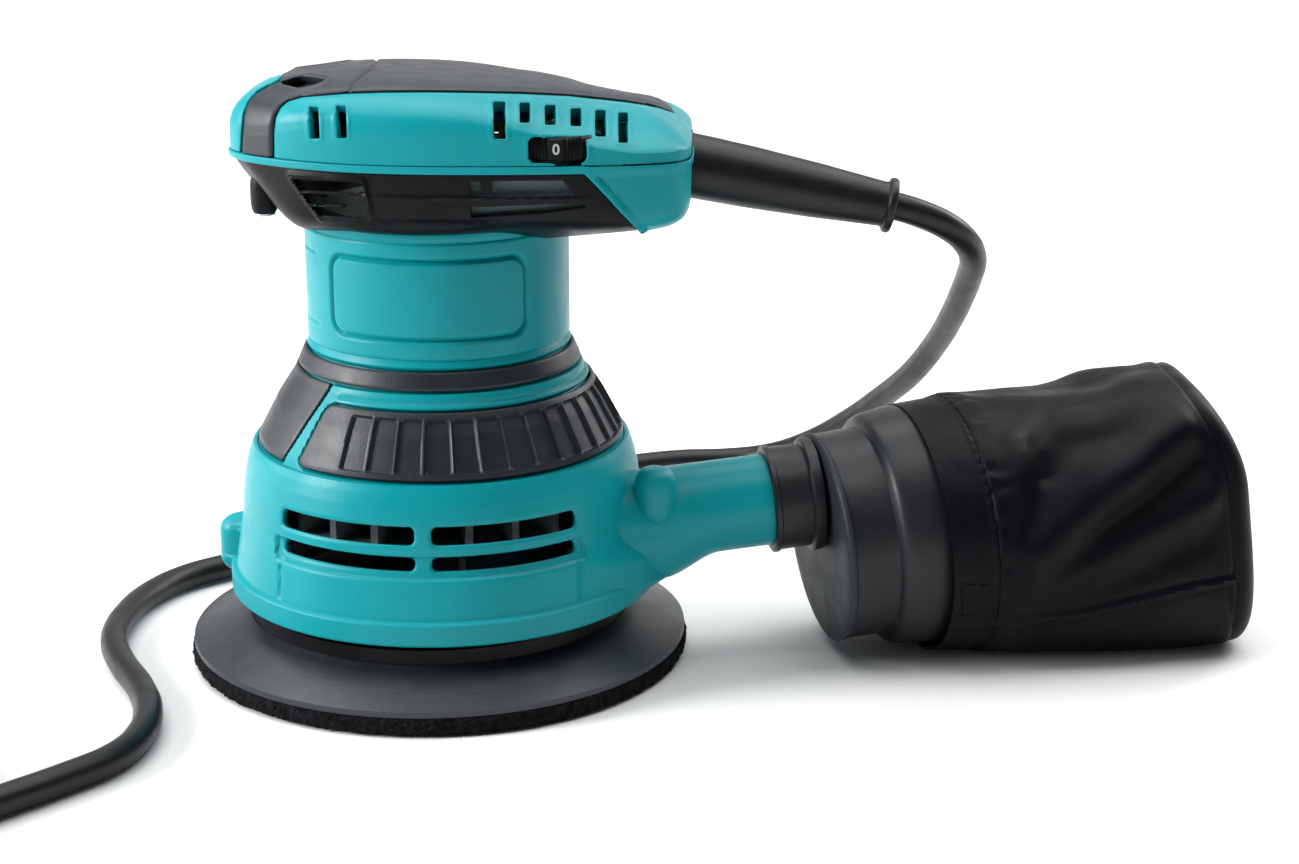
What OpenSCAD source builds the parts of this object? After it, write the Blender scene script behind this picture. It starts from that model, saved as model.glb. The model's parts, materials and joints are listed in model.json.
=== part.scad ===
// Orbital sander with a dust bag and a mains cord.
// Millimetres, +Z up. The origin is where the motor axis meets the abrasive face.
// The nose points along -X. The cord and the dust spout leave towards +X.

/* [Pad] */
// Diameter of the backing pad
pad_d = 125; // [120:1:127]
// Number of dust holes in the pad
dust_holes = 8; // [6:1:8]
// Diameter of each dust hole
dust_hole_d = 10; // [8:1:11]
// Pitch circle of the dust holes
dust_hole_pcd = 65; // [62:1:70]
// Diameter of the orbit that the pad's centre follows
orbit_d = 2.8; // [2:0.2:3]

/* [Dust skirt] */
// Height of the skirt's lower edge above the abrasive face
skirt_z0 = 18.9; // [18.5:0.1:20]
// Height of the skirt's upper edge
skirt_z1 = 56.4; // [55.5:0.1:58]
// Outer diameter of the skirt's bottom ring
skirt_d = 107.6; // [105:0.2:109]
// Height of each outlet slot
slot_h = 4; // [3:0.5:5]
// Number of fan blades
fan_blades = 24; // [16:1:28]

/* [Motor housing] */
// Outer diameter of the neck
neck_d = 64.8; // [64:0.2:66]
// Wall of the motor housing
housing_wall = 2.6; // [2:0.1:3]

/* [Head] */
// Height of the parting line between the head's two halves
parting_z = 129.2; // [128.5:0.1:129.6]
// Wall of the head's shells
head_wall = 3.4; // [3:0.1:3.6]
// Thickness of the soft grip cover
grip_t = 1.8; // [1.4:0.1:2]

/* [Dust spout and bag] */
// Outer diameter of the dust spout
spout_d = 23; // [22:0.5:24]
// Angle of the spout to the sander's long axis, seen from above
spout_yaw = 9.5; // [8:0.5:11]
// Upward tilt of the spout
spout_tilt = 5; // [4:0.5:6]
// Diameter of the bag's front drum
drum_d = 53; // [50:1:54]
// Diameter of the rim that holds the bag open
rim_d = 63.6; // [62:0.2:64]

/* [Controls] */
// Diameter of the speed dial
dial_d = 20; // [19:0.5:20]
// Diameter of the rocker's pivot pin
pivot_d = 3; // [2.5:0.1:3.5]

/* [Cord] */
// Diameter of the power cord
cord_d = 7; // [6.5:0.1:7.2]
// Length of the tapered cord guard outside the housing
guard_len = 50; // [45:1:52]

/* [Hidden] */
$fn = 96;

// Gaps: pieces seated in one body, a running fit, and a hair to overcut by
seat = 0.03;
run = 0.08;
cut = 0.5;

// Heights of the stack in the pad
hook_t = 2.4;
foam_top = 12.4;
plate_top = 16;
recess_r = 13;
pad_screw_pcd = 17;
ecc = -orbit_d / 2;

// Motor stack along its axis
bore_r = 5;
lower_bearing_z = 54;
upper_bearing_z = 110;
core_z = 70;
core_h = 24;
fan_z = 38;
fan_r = 44;
hub_z = 20.6;
brush_z = 104.9;
plate_screw_r = 38.5;
neck_r = neck_d / 2;

// The bell's outline, and the bands that are set into it
bell = [[54.2, 46.2], [58.5, 45], [67, 40.5], [74, 36], [80.7, 33], [82, neck_r]];
nose_panel_half = 40.7;
band_z = [77.1, 80.7];
grip_z = [56.9, 72];
overmould_t = 1.4;

// The head's outlines: seen from above, from the side and along its length
head_mid = [6.8, 0, 128.7];
head_half = [56.8, 38, 21.3];
plan_side = [
  [-50, 0], [-49.8, 8], [-49, 14], [-44, 21.5], [-33, 28.4], [-24, 32.6], [-15, 35.6],
  [-4, 37.4], [7, 38], [24, 37.6], [40, 36], [52, 33.4], [59, 30.5], [62.6, 26],
  [63.4, 18], [63.6, 0]
];
side_top = [
  [-50, 128], [-50, 132], [-49, 137], [-47, 141], [-41, 144.7], [-32, 147.2], [-16, 149.4],
  [0, 150], [16, 149], [30, 146.4], [40, 143.2], [50, 141], [57, 139.3], [62, 134], [63.6, 128]
];
side_belly = [
  [63.4, 122], [61.5, 117.5], [57, 114.6], [48, 112.4], [38, 109.5], [30, 107.4],
  [-33.8, 107.4], [-42.9, 114.1], [-48, 121.5]
];
section_side = [
  [0, 107.4], [14, 107.9], [26, 109.6], [34, 112.4], [38, 114.4], [38, 138], [36.8, 143],
  [33.5, 146.3], [26, 148.2], [14, 149.6], [0, 150]
];

// The seam between the vent collar and the head base, seen from the side
seam = [[41, 127.6], [52, 112]];
lip_z = 127.6;

// Rocker and its two windows, speed dial
pivot = [-29, 0, 138];
window_at = [-29.2, 14.8];
window_len = 14;
window_w = 7.6;
window_turn = 50;
dial_at = [31.5, -27.3];
dial_z = 134;
dial_h = 5.6;
post_r = 3;
head_screw_at = [[-40, -13], [-40, 13], [53, -13], [53, 13]];
head_screw_z = 114.4;
clamp_x = 50;
clamp_screw_y = 22;
jacket_z = 126.2;

// Cord guard: where it leaves the housing, and how far it droops
guard_at = [63.4, 0, 124];
guard_droop = 11.3;

// Spout: a point on its axis at the skirt, and its stations along that axis
spout_at = [51, -9, 37.5];
spout_bore_r = 9.3;
collar_s = 31.5;
spout_tip_s = 43;
disc_s = 45.5;
drum_s = 47.5;
cone_s = 59.5;
rim_s = 78;
rim_end_s = 82;
drum_drop = 12;
bag_wall = 1.6;

// Bosses on the skirt: angle, height of the middle, distance from the axis
bosses = [[180, 27.4, 53], [82, 27.4, 53], [-17.5, 44.6, 55]];
boss_r = 4.3;

// The cord's route from inside its guard to the coil
cord_route = [
  [109, 0, 114.9], [113, 0, 114.1], [120.1, 1.7, 111.5], [126.3, 5, 108],
  [131.3, 10.3, 103.3], [134.1, 17.7, 97.6], [134.1, 28.6, 90.1], [132.9, 36.1, 85.3],
  [132.9, 50.9, 74.8], [130.6, 72.4, 60.7], [126, 86, 50], [119, 106, 37], [110, 124, 24.5],
  [99, 139, 13.5], [87, 149, 6.5], [74, 153, 3.8], [60, 152, 3.6], [44, 146, 3.6],
  [20, 132, 3.6], [-5, 115, 3.6], [-28, 95, 3.6], [-48, 71, 3.6], [-64, 50, 3.6],
  [-75, 39, 3.6], [-82, 25, 3.6], [-85, 8, 3.6], [-84, -9, 3.6], [-78, -26, 3.6],
  [-70, -42, 3.6], [-65, -57, 3.6], [-64, -71, 3.6], [-67, -83, 3.6], [-75, -94, 3.6],
  [-86, -106.4, 3.7], [-99, -121, 3.9], [-112.6, -136, 4.1]
];
tail_route = [
  [-195.5, -104.5, 11.1], [-195.3, -94, 10.8], [-193.6, -84, 9.7], [-190.4, -74, 8.3],
  [-186.8, -65, 7.3], [-184.6, -57.5, 6.95], [-184, -52.6, 6.85], [-184, -50.05, 6.85]
];
coil_at = [-148, -104.5];
coil_in = 25;
coil_out = 51;
coil_z = [0.6, 14.8];
tie_t = 0.6;
tie_w = 9;
plug_at = [-184, -50, 6.85];
plug_h = 13.7;

// ---------------------------------------------------------------- helpers

// Both halves of an outline from one half, mirrored in its second coordinate
function both_sides(half) =
  concat(half, [for (i = [len(half) - 1:-1:0]) if (abs(half[i][1]) > 0.01) [half[i][0], -half[i][1]]]);

// An outline moved in by d, as a scaling about its middle
function inset(points, mid, half, d) =
  [for (p = points) [for (k = [0, 1]) mid[k] + (p[k] - mid[k]) * (half[k] - d) / half[k]]];

// The whole head, moved in by d all round
module head_solid(d = 0) {
  xy = inset(both_sides(plan_side), [head_mid.x, 0], [head_half.x, head_half.y], d);
  xz = inset(concat(side_top, side_belly), [head_mid.x, head_mid.z], [head_half.x, head_half.z], d);
  mirrored = [for (i = [len(section_side) - 2:-1:1]) [-section_side[i][0], section_side[i][1]]];
  yz = inset(concat(section_side, mirrored), [0, head_mid.z], [head_half.y, head_half.z], d);
  intersection() {
    translate([0, 0, 100]) linear_extrude(60) polygon(xy);
    rotate([90, 0, 0]) linear_extrude(100, center = true) polygon(xz);
    rotate([90, 0, 90]) linear_extrude(160, center = true) polygon(yz);
  }
}

module head_wall_solid(d = 0) {
  difference() {
    head_solid(d);
    head_solid(head_wall);
  }
}

// Everything behind the seam, when x0 is 0, moved back by x0 otherwise
module behind_seam(x0 = 0) {
  slope = (seam[1].x - seam[0].x) / (seam[0].y - seam[1].y);
  low = 100;
  translate([x0, 0, 0]) rotate([90, 0, 0]) linear_extrude(100, center = true)
    polygon([
      seam[0], [seam[1].x + slope * (seam[1].y - low), low], [80, low], [80, seam[0].y]
    ]);
}

module slab(z0, z1) {
  translate([-100, -100, z0]) cube([200, 200, z1 - z0]);
}

// The part of the head that the soft grip covers, seen from above
module grip_area(d = 0) {
  half = [
    [-36, 0], [-39, 9], [-56, 15.4], [-52, 40], [-36, 40], [-33, 26], [-24, 29.6], [-12, 32.6],
    [0, 33.8], [16, 33.6], [30, 32], [42, 28.4], [52, 22], [57, 13], [58, 0]
  ];
  translate([0, 0, parting_z + d]) linear_extrude(40) polygon(both_sides(half));
}

// A stadium-shaped window, as a solid of the given height
module stadium(length, width, h) {
  translate([-(length - width) / 2, -width / 2, 0]) cube([length - width, width, h]);
  for (s = [-1, 1]) translate([s * (length - width) / 2, 0, 0]) cylinder(d = width, h = h);
}

module both_windows(gap, z, h) {
  for (s = [-1, 1])
    translate([window_at.x, s * window_at.y, z]) rotate([0, 0, -s * window_turn])
      stadium(window_len + 2 * gap, window_w + 2 * gap, h);
}

function bell_r(z) = lookup(z, bell);

// A sector of the bell's skin between two heights, depth t, proud by p
module bell_sector(z0, z1, t, from, sweep, p = 0) {
  zs = concat([z0], [for (b = bell) if (b[0] > z0 && b[0] < z1) b[0]], [z1]);
  inner = [for (i = [len(zs) - 1:-1:0]) [bell_r(zs[i]) - t, zs[i]]];
  outline = concat([for (z = zs) [bell_r(z) + p, z]], inner);
  rotate([0, 0, from]) rotate_extrude(angle = sweep) polygon(outline);
}

// Places children on the spout's axis, at station s, with +Z along the spout
module on_spout(s, drop = 0) {
  translate(spout_at) rotate([0, -spout_tilt, spout_yaw]) translate([s, 0, -drop])
    rotate([0, 90, 0]) children();
}

module ring(r_out, r_in, h) {
  difference() {
    cylinder(r = r_out, h = h);
    translate([0, 0, -cut]) cylinder(r = r_in, h = h + 2 * cut);
  }
}

module around(n, r, from = 0) {
  for (i = [0:n - 1]) rotate([0, 0, from + i * 360 / n]) translate([r, 0, 0]) children();
}

// A ball bearing: two races and its balls, standing on z = 0
module ball_bearing(r_in, r_out, h, balls) {
  mid = (r_in + r_out) / 2;
  ball_r = (r_out - r_in) * 0.27;
  race = (r_out - r_in) * 0.3;
  groove_r = ball_r + 0.05;
  difference() {
    union() {
      ring(r_in + race, r_in, h);
      ring(r_out, r_out - race, h);
    }
    translate([0, 0, h / 2]) rotate_extrude() translate([mid, 0]) circle(r = groove_r, $fn = 32);
  }
  around(balls, mid) translate([0, 0, h / 2]) sphere(r = ball_r, $fn = 24);
}

// A screw with its head at z = 0 and its shank along +Z
module screw(head_r, head_h, shank_r, length) {
  difference() {
    cylinder(r = head_r, h = head_h);
    for (a = [0, 90])
      rotate([0, 0, a]) translate([-head_r * 0.6, -0.35, -cut]) cube([head_r * 1.2, 0.7, cut + 0.9]);
  }
  translate([0, 0, head_h]) cylinder(r = shank_r, h = length);
}

// A tube swept along points: one ring of n corners per point, closed at both ends
module swept_tube(points, r, n, across = [0, 0, 1]) {
  last = len(points) - 1;
  rings = [
    for (i = [0:last])
      let (
        t = unit(points[min(i + 1, last)] - points[max(i - 1, 0)]),
        side = unit(cross(across, t)),
        up = cross(t, side)
      )
        for (k = [0:n - 1]) points[i] + r * (cos(360 * k / n) * side + sin(360 * k / n) * up)
  ];
  walls = [
    for (i = [0:last - 1], k = [0:n - 1])
      let (a = i * n + k, b = i * n + (k + 1) % n)
        each [[a, b, b + n], [a, b + n, a + n]]
  ];
  polyhedron(points = rings, faces = concat([for (w = walls) [w[2], w[1], w[0]]],
    [[for (k = [0:n - 1]) k]], [[for (k = [n - 1:-1:0]) last * n + k]]));
}

function unit(v) = v / norm(v);

// A point on the smooth curve through four neighbouring points
function blend_point(a, b, c, d, t) =
  0.5 * (2 * b + (c - a) * t + (2 * a - 5 * b + 4 * c - d) * t * t + (3 * b - a - 3 * c + d) * t * t * t);

// The route with extra points between its own
function smooth(points, parts) =
  let (last = len(points) - 1)
    concat(
      [
        for (i = [0:last - 1], j = [0:parts - 1])
          blend_point(points[max(i - 1, 0)], points[i], points[i + 1], points[min(i + 2, last)], j / parts)
      ],
      [points[last]]
    );

// ---------------------------------------------------------------- head

module head_shell() color([0.07, 0.65, 0.67]) {
  side_slots = [[-24.7, 2.6, 7], [-18.6, 2.6, 7], [17.4, 3, 8], [40.8, 2.4, 6], [46, 2.4, 6.6]];
  square_slots = [23.1, 28.9, 34.6];
  slot_top = 144;
  difference() {
    intersection() {
      head_wall_solid();
      slab(parting_z, 160);
    }
    intersection() {
      difference() {
        head_solid(-1);
        head_solid(grip_t);
      }
      grip_area(-1);
    }
    for (s = side_slots, y = [-1, 1])
      translate([s[0], y * 36 - 5, slot_top - s[2]]) cube([s[1], 10, s[2]]);
    for (x = square_slots, y = [-1, 1])
      translate([x, y * 36 - 5, slot_top - 4.2]) cube([2.8, 10, 4.2]);
    both_windows(0.6, 130, 30);
    translate([dial_at.x - 6.5, -45, dial_z - 3.1]) cube([13, 15, 6.2]);
    translate([dial_at.x, dial_at.y, dial_z - 3.2]) cylinder(r = dial_d / 2 + 0.6, h = 6.4);
    guard_hole();
  }
  for (p = head_screw_at)
    intersection() {
      translate([p.x, p.y, parting_z]) ring(post_r, 1.2, 20);
      head_solid(head_wall - 0.4);
    }
}

// The round hole that the cord guard leaves through
module guard_hole() {
  translate(guard_at) rotate([0, 90 + guard_droop, 0]) {
    translate([0, 0, -7]) cylinder(r = 7.7 + seat, h = 14);
    translate([0, 0, -9.8]) cylinder(r = 8.9 + seat, h = 3.3);
  }
}

// A post in the lower half of the head that takes a head screw from below
module lower_post(p) {
  intersection() {
    translate([p.x, p.y, 105]) cylinder(r = post_r + 0.6, h = lip_z - 105.1);
    head_solid(head_wall - 0.4);
  }
}

module screw_way(p) {
  translate([p.x, p.y, 100]) cylinder(r = 1.2, h = 40);
  translate([p.x, p.y, 100]) cylinder(r = 2.7, h = head_screw_z + 2.1 - 100);
}

module head_base() color([0.05, 0.6, 0.62]) {
  difference() {
    union() {
      intersection() {
        head_wall_solid();
        slab(lip_z, parting_z - 0.1);
      }
      intersection() {
        head_wall_solid();
        behind_seam(0.15);
      }
      for (i = [2, 3]) lower_post(head_screw_at[i]);
      // Posts for the cord clamp, and the saddle that the cord lies in
      intersection() {
        union() {
          for (y = [-1, 1])
            translate([clamp_x, y * clamp_screw_y, 105]) cylinder(r = post_r, h = jacket_z - 105);
          translate([clamp_x - 1.5, -6, 105]) cube([3, 12, jacket_z - 105]);
        }
        head_solid(head_wall - 0.4);
        behind_seam(0.15);
      }
    }
    guard_hole();
    for (i = [2, 3]) screw_way(head_screw_at[i]);
    for (y = [-1, 1]) translate([clamp_x, y * clamp_screw_y, 118]) cylinder(r = 1.3, h = 12);
    translate([clamp_x - 5, 0, jacket_z]) rotate([0, 90, 0]) cylinder(r = cord_d / 2 + seat, h = 10);
  }
}

module grip_cover() color([0.27, 0.28, 0.3]) {
  difference() {
    intersection() {
      difference() {
        head_solid();
        head_solid(grip_t - seat);
      }
      grip_area();
      slab(parting_z + 0.05, 160);
    }
    both_windows(0, 130, 30);
  }
}

module vent_collar() color([0.16, 0.17, 0.18]) {
  difference() {
    union() {
      intersection() {
        head_wall_solid();
        slab(100, lip_z - 0.1);
      }
      for (i = [0, 1]) lower_post(head_screw_at[i]);
    }
    for (i = [0, 1]) screw_way(head_screw_at[i]);
    behind_seam(-0.15);
    cylinder(r = neck_r + 0.1, h = 130);
    for (s = [-1, 1], i = [0:3])
      translate([-27 + i * 2.2, s * 33 - 7, 124.6 - i * 2.7]) cube([14 - i * 1.6, 14, 1.6]);
    for (s = [-1, 1]) {
      translate([12, s * 38 - 4, 121.2]) cube([3.4, 8, 5]);
      translate([17.4, s * 38 - 4, 121.2]) cube([20, 8, 5]);
      translate([12, s * 38 - 4, 116.8]) cube([29, 8, 3.4]);
    }
  }
}

module motor_cap() color([0.33, 0.42, 0.42]) {
  cap_wall = 1.6;
  top = 126.6;
  difference() {
    intersection() {
      difference() {
        head_solid(head_wall + 0.3);
        intersection() {
          head_solid(head_wall + 0.3 + cap_wall);
          slab(100, top - cap_wall);
        }
      }
      slab(114, top);
      translate([-10, -50, 100]) cube([48, 100, 40]);
    }
    cylinder(r = neck_r + 0.1, h = 113.2);
    translate([0, 0, 120]) cylinder(r = 6, h = 20);
  }
  difference() {
    union() {
      translate([0, 0, 109]) cylinder(r = 14, h = 10);
      translate([0, 0, 113.4]) cylinder(r = 28, h = 2);
      translate([-9, -31, 113.4]) cube([4, 62, 2]);
    }
    translate([0, 0, upper_bearing_z]) cylinder(r = 11 + seat, h = 7 + seat);
    translate([0, 0, 105]) cylinder(r = 8, h = 20);
  }
}

module switch_body() color([0.1, 0.1, 0.11]) {
  translate([-38, -9, parting_z - 2]) cube([18, 18, 7.6]);
  for (x = [-38, -22])
    difference() {
      translate([x, -4, pivot.z - 4]) cube([2, 8, 7]);
      translate([x - 1, 0, pivot.z]) rotate([0, 90, 0]) cylinder(r = pivot_d / 2 + run, h = 4);
    }
}

module switch_rocker() color([0.05, 0.05, 0.06]) {
  translate([-38, 0, pivot.z]) rotate([0, 90, 0]) cylinder(d = pivot_d, h = 18);
  translate([-35.4, -3, pivot.z - 1]) cube([13, 6, 4.6]);
  translate([-32.6, -17, pivot.z + 1]) cube([7, 34, 2.4]);
  intersection() {
    both_windows(-1.1, pivot.z + 1, 10);
    head_solid(2.6);
  }
}

module speed_module() color([0.15, 0.35, 0.2]) {
  translate([18, -30, 127.2]) cube([28, 26, 1.6]);
  translate([dial_at.x, dial_at.y, 128.8]) cylinder(r = 4, h = 1.6);
  translate([dial_at.x, dial_at.y, 128.8]) cylinder(r = 1.5, h = 10.6);
  translate([20, -16, 128.8]) cube([9, 11, 8]);
}

module speed_dial() color([0.08, 0.08, 0.09]) {
  knurls = 36;
  difference() {
    translate([dial_at.x, dial_at.y, dial_z - dial_h / 2]) cylinder(d = dial_d, h = dial_h);
    translate([dial_at.x, dial_at.y, 120]) cylinder(r = 1.5 + run, h = 30);
    translate([dial_at.x, dial_at.y, 0])
      around(knurls, dial_d / 2) translate([-0.5, -0.35, dial_z - 4]) cube([2, 0.7, 8]);
  }
}

module capacitor() color([0.75, 0.6, 0.12]) {
  translate([15, 6, 127.4]) cube([24, 10, 12.4]);
}

module core_leads() color([0.15, 0.3, 0.6]) {
  lead_r = 1.1;
  bend_x = 42;
  lead_z = 136;
  translate([clamp_x - 3.5, 0, jacket_z]) rotate([0, 90, 0]) cylinder(d = cord_d, h = 7);
  for (y = [-1.6, 1.6]) {
    translate([bend_x, y, jacket_z]) rotate([0, 90, 0]) cylinder(r = lead_r, h = clamp_x - 3.4 - bend_x);
    translate([bend_x, y, jacket_z]) sphere(r = lead_r);
    translate([bend_x, y, jacket_z]) cylinder(r = lead_r, h = lead_z - jacket_z);
    translate([bend_x, y, lead_z]) sphere(r = lead_r);
    translate([-19.8, y, lead_z]) rotate([0, 90, 0]) cylinder(r = lead_r, h = bend_x + 19.8);
  }
}

module cord_clamp() color([0.1, 0.1, 0.11]) {
  bar = [5, 50, 2.7];
  hump = [5, 16, 5.2];
  difference() {
    for (b = [bar, hump]) translate([clamp_x - b.x / 2, -b.y / 2, jacket_z + 0.1]) cube(b);
    translate([clamp_x - 5, 0, jacket_z]) rotate([0, 90, 0]) cylinder(r = cord_d / 2 + seat, h = 10);
    for (y = [-1, 1]) translate([clamp_x, y * clamp_screw_y, 120]) cylinder(r = 1.3, h = 12);
    for (i = [2, 3])
      translate([head_screw_at[i].x, head_screw_at[i].y, 120]) cylinder(r = post_r + 0.8, h = 12);
  }
}

module clamp_screws() color([0.7, 0.7, 0.72]) {
  for (y = [-1, 1])
    translate([clamp_x, y * clamp_screw_y, jacket_z + 4.8]) mirror([0, 0, 1]) screw(2.4, 1.9, 1.2, 9);
}

module cord_guard() color([0.08, 0.08, 0.09]) {
  base_r = 7.7;
  hole_r = cord_d / 2 + 0.25;
  end_r = 5.4;
  lip_r = 6.7;
  profile = [
    [hole_r, -9.6], [8.8, -9.6], [8.8, -6.6], [base_r, -6.6], [base_r, 3],
    [base_r - 0.4, guard_len * 0.3], [6.3, guard_len * 0.7], [end_r, guard_len - 4.2],
    [lip_r - 0.5, guard_len - 3.6], [lip_r, guard_len - 2.4], [lip_r, guard_len - 1.2],
    [lip_r - 0.8, guard_len], [hole_r, guard_len]
  ];
  translate(guard_at) rotate([0, 90 + guard_droop, 0]) rotate_extrude() polygon(profile);
}

module head_screws() color([0.7, 0.7, 0.72]) {
  for (p = head_screw_at) translate([p.x, p.y, head_screw_z]) screw(2.6, 2, 1.15, 17);
}

// ---------------------------------------------------------------- motor housing

module motor_housing() color([0.07, 0.65, 0.67]) {
  wall = housing_wall;
  inner = [for (i = [len(bell) - 1:-1:0]) [bell[i][1] - wall, bell[i][0]]];
  outer = [for (p = bell) [p[1], p[0]]];
  difference() {
    union() {
      rotate_extrude() polygon(concat(outer, [[neck_r, 113], [neck_r - wall, 113]], inner));
      around(4, plate_screw_r, 45) translate([0, 0, 54.2]) cylinder(r = 3.4, h = 9);
    }
    around(4, plate_screw_r, 45) translate([0, 0, 50]) cylinder(r = 1.5 + seat, h = 12);
    bell_sector(band_z[0], band_z[1], overmould_t, 0, 360, 1);
    bell_sector(skirt_z1 + 0.2, band_z[0], overmould_t, 139, 82, 1);
    bell_sector(grip_z[0], grip_z[1], overmould_t, -127.5, 255, 1);
    // Groove round the raised panel on each side of the neck
    for (s = [-1, 1])
      rotate([0, 0, s * 90 - 45.5]) {
        for (z = [87.4, 106.4]) rotate_extrude(angle = 91) translate([neck_r - 0.7, z]) square([2, 0.9]);
        for (a = [0, 90]) rotate([0, 0, a]) rotate_extrude(angle = 1.4)
          translate([neck_r - 0.7, 87.4]) square([2, 19.9]);
      }
  }
}

module bell_cover() color([0.25, 0.26, 0.28]) {
  difference() {
    bell_sector(skirt_z1 + 0.3, band_z[1], overmould_t - seat, 0, 360);
    rotate([0, 0, nose_panel_half - 180]) rotate_extrude(angle = 360 - 2 * nose_panel_half)
      translate([20, skirt_z1 - 5]) square([40, band_z[0] - skirt_z1 + 5]);
  }
}

module rib_grip() color([0.2, 0.21, 0.23]) {
  cells = 26;
  pitch = 9;
  difference() {
    bell_sector(grip_z[0] + 0.1, grip_z[1] - 0.1, overmould_t - seat, -127.2, 254.4);
    for (i = [0:cells])
      rotate([0, 0, (i - cells / 2) * pitch]) translate([30, -0.4, 58.7]) cube([30, 0.8, 11.4]);
  }
}

module bearing_plate() color([0.62, 0.63, 0.65]) {
  difference() {
    union() {
      translate([0, 0, 51]) cylinder(r = 44.35, h = 3);
      translate([0, 0, 51]) cylinder(r = 45.8, h = 1.3);
      translate([0, 0, 54]) cylinder(r = 17, h = 7.5);
      around(6, 28) translate([-12, -1, 53.9]) cube([24, 2, 3]);
    }
    translate([0, 0, lower_bearing_z]) cylinder(r = 13 + seat, h = 12);
    translate([0, 0, 50]) cylinder(r = 10.5, h = 10);
    around(12, 36, 15) translate([0, 0, 50]) cylinder(r = 2.6, h = 10);
    around(4, plate_screw_r, 45) translate([0, 0, 50]) cylinder(r = 1.6, h = 10);
    around(4, plate_screw_r, 45) translate([0, 0, 50]) cylinder(r = 2.9, h = 3);
  }
}

module plate_screws() color([0.7, 0.7, 0.72]) {
  around(4, plate_screw_r, 45) translate([0, 0, 51.1]) screw(2.8, 1.85, 1.5, 8.4);
}

module lower_bearing() color([0.75, 0.76, 0.78]) {
  translate([0, 0, lower_bearing_z + 0.02]) ball_bearing(bore_r, 13, 7.9, 8);
}

module upper_bearing() color([0.75, 0.76, 0.78]) {
  translate([0, 0, upper_bearing_z + 0.02]) ball_bearing(4, 11, 6.9, 7);
}

module stator_core() color([0.5, 0.5, 0.52]) {
  difference() {
    translate([0, 0, core_z]) ring(28.6, 18.2, core_h);
    for (s = [0, 180], a = [34, 134])
      rotate([0, 0, s + a]) translate([0, 0, core_z - 1]) rotate_extrude(angle = 12)
        translate([19.8, 0]) square([5, core_h + 2]);
    for (s = [0, 180]) rotate([0, 0, s]) translate([27.6, -20, core_z - 1]) cube([4, 40, core_h + 2]);
  }
}

module field_coils() color([0.72, 0.4, 0.2]) {
  gap = 0.2;
  turn_h = 6;
  leg_sweep = 11;
  for (s = [0, 180]) rotate([0, 0, s + 34.5]) difference() {
    translate([0, 0, core_z - gap - turn_h]) rotate_extrude(angle = 111)
      translate([19.9, 0]) square([4.8, core_h + 2 * (gap + turn_h)]);
    translate([0, 0, core_z - gap]) rotate([0, 0, leg_sweep]) rotate_extrude(angle = 111 - 2 * leg_sweep)
      translate([15, 0]) square([14, core_h + 2 * gap]);
  }
}

module brush_holders() color([0.8, 0.65, 0.3]) {
  for (s = [0, 180]) rotate([0, 0, s])
    difference() {
      translate([12.4, -5, brush_z - 4]) cube([16.8, 10, 8]);
      translate([11, -3.1, brush_z - 3.1]) cube([16.6, 6.2, 6.2]);
    }
}

module carbon_brushes() color([0.12, 0.12, 0.13]) {
  for (s = [0, 180]) rotate([0, 0, s]) translate([10.8, -3, brush_z - 3]) cube([11, 6, 6]);
}

module brush_springs() color([0.7, 0.71, 0.73]) {
  turns = 4;
  steps = 12;
  pitch = 1.3;
  coil_r = 2.3;
  helix = [
    for (i = [0:turns * steps])
      [22.25 + pitch * i / steps * 0.95, coil_r * cos(360 * i / steps), coil_r * sin(360 * i / steps)]
  ];
  for (s = [0, 180]) rotate([0, 0, s]) translate([0, 0, brush_z])
    swept_tube(helix, 0.3, 6, [1, 0, 0]);
}

// A helix about the X axis as a six-sided wire
// ---------------------------------------------------------------- skirt

module dust_skirt() color([0.07, 0.65, 0.67]) {
  ring_r = skirt_d / 2;
  outline = [
    [50.6, skirt_z0], [ring_r, skirt_z0], [ring_r, 24.4], [52.3, 24.8], [51, 34], [50.2, 38],
    [49.8, 44], [49.2, 48], [48.5, 52], [47.6, 55.6], [47.2, skirt_z1], [46.4, skirt_z1], [46.4, 54], [44.4, 54],
    [44.4, 52.4], [46, 52.4], [46.2, 50.5], [47.4, 44], [48, 38], [48.6, 34], [49.8, 25], [50.6, 23]
  ];
  difference() {
    union() {
      rotate_extrude() polygon(outline);
      difference() {
        union() {
          on_spout(-4) cylinder(d = spout_d, h = spout_tip_s + 4);
          hull() {
            on_spout(24) cylinder(d = spout_d - 0.2, h = 0.2, $fn = 32);
            on_spout(2) cylinder(d = spout_d - 0.2, h = 0.2, $fn = 32);
            translate([47, -9, 19.6]) cylinder(r = 10.5, h = 4, $fn = 32);
          }
        }
        translate([0, 0, 15]) cylinder(r = 47.9, h = 38);
        translate([0, 0, 15]) cylinder(r = 50.6, h = 8);
      }
      difference() {
        for (b = bosses) rotate([0, 0, b[0]]) translate([b[2], 0, b[1]]) {
          translate([0, 0, -3]) cylinder(r = boss_r, h = 6, $fn = 48);
          for (s = [-1, 1]) translate([0, 0, 3 * s]) sphere(r = boss_r, $fn = 48);
        }
        translate([0, 0, 15]) cylinder(r = 51, h = 8.4);
      }
    }
    on_spout(-16) cylinder(r = spout_bore_r, h = 80);
    for (s = [-1, 1], a = [2.5, -45], z = [43, 35.5])
      rotate([0, 0, s * 90 + a]) translate([0, 0, z]) rotate_extrude(angle = 42.5)
        translate([42, 0]) square([16, slot_h]);
    translate([0, 0, 19]) cylinder(r = 46, h = 33.4);
  }
}

module brake_ring() color([0.1, 0.1, 0.1]) {
  rotate_extrude() polygon([
    [50.5, 20.2], [50.5, 22.6], [44, 22.6], [41, 19], [41, 16.35], [43.4, 16.35], [43.4, 18], [46, 20.2]
  ]);
}

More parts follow.
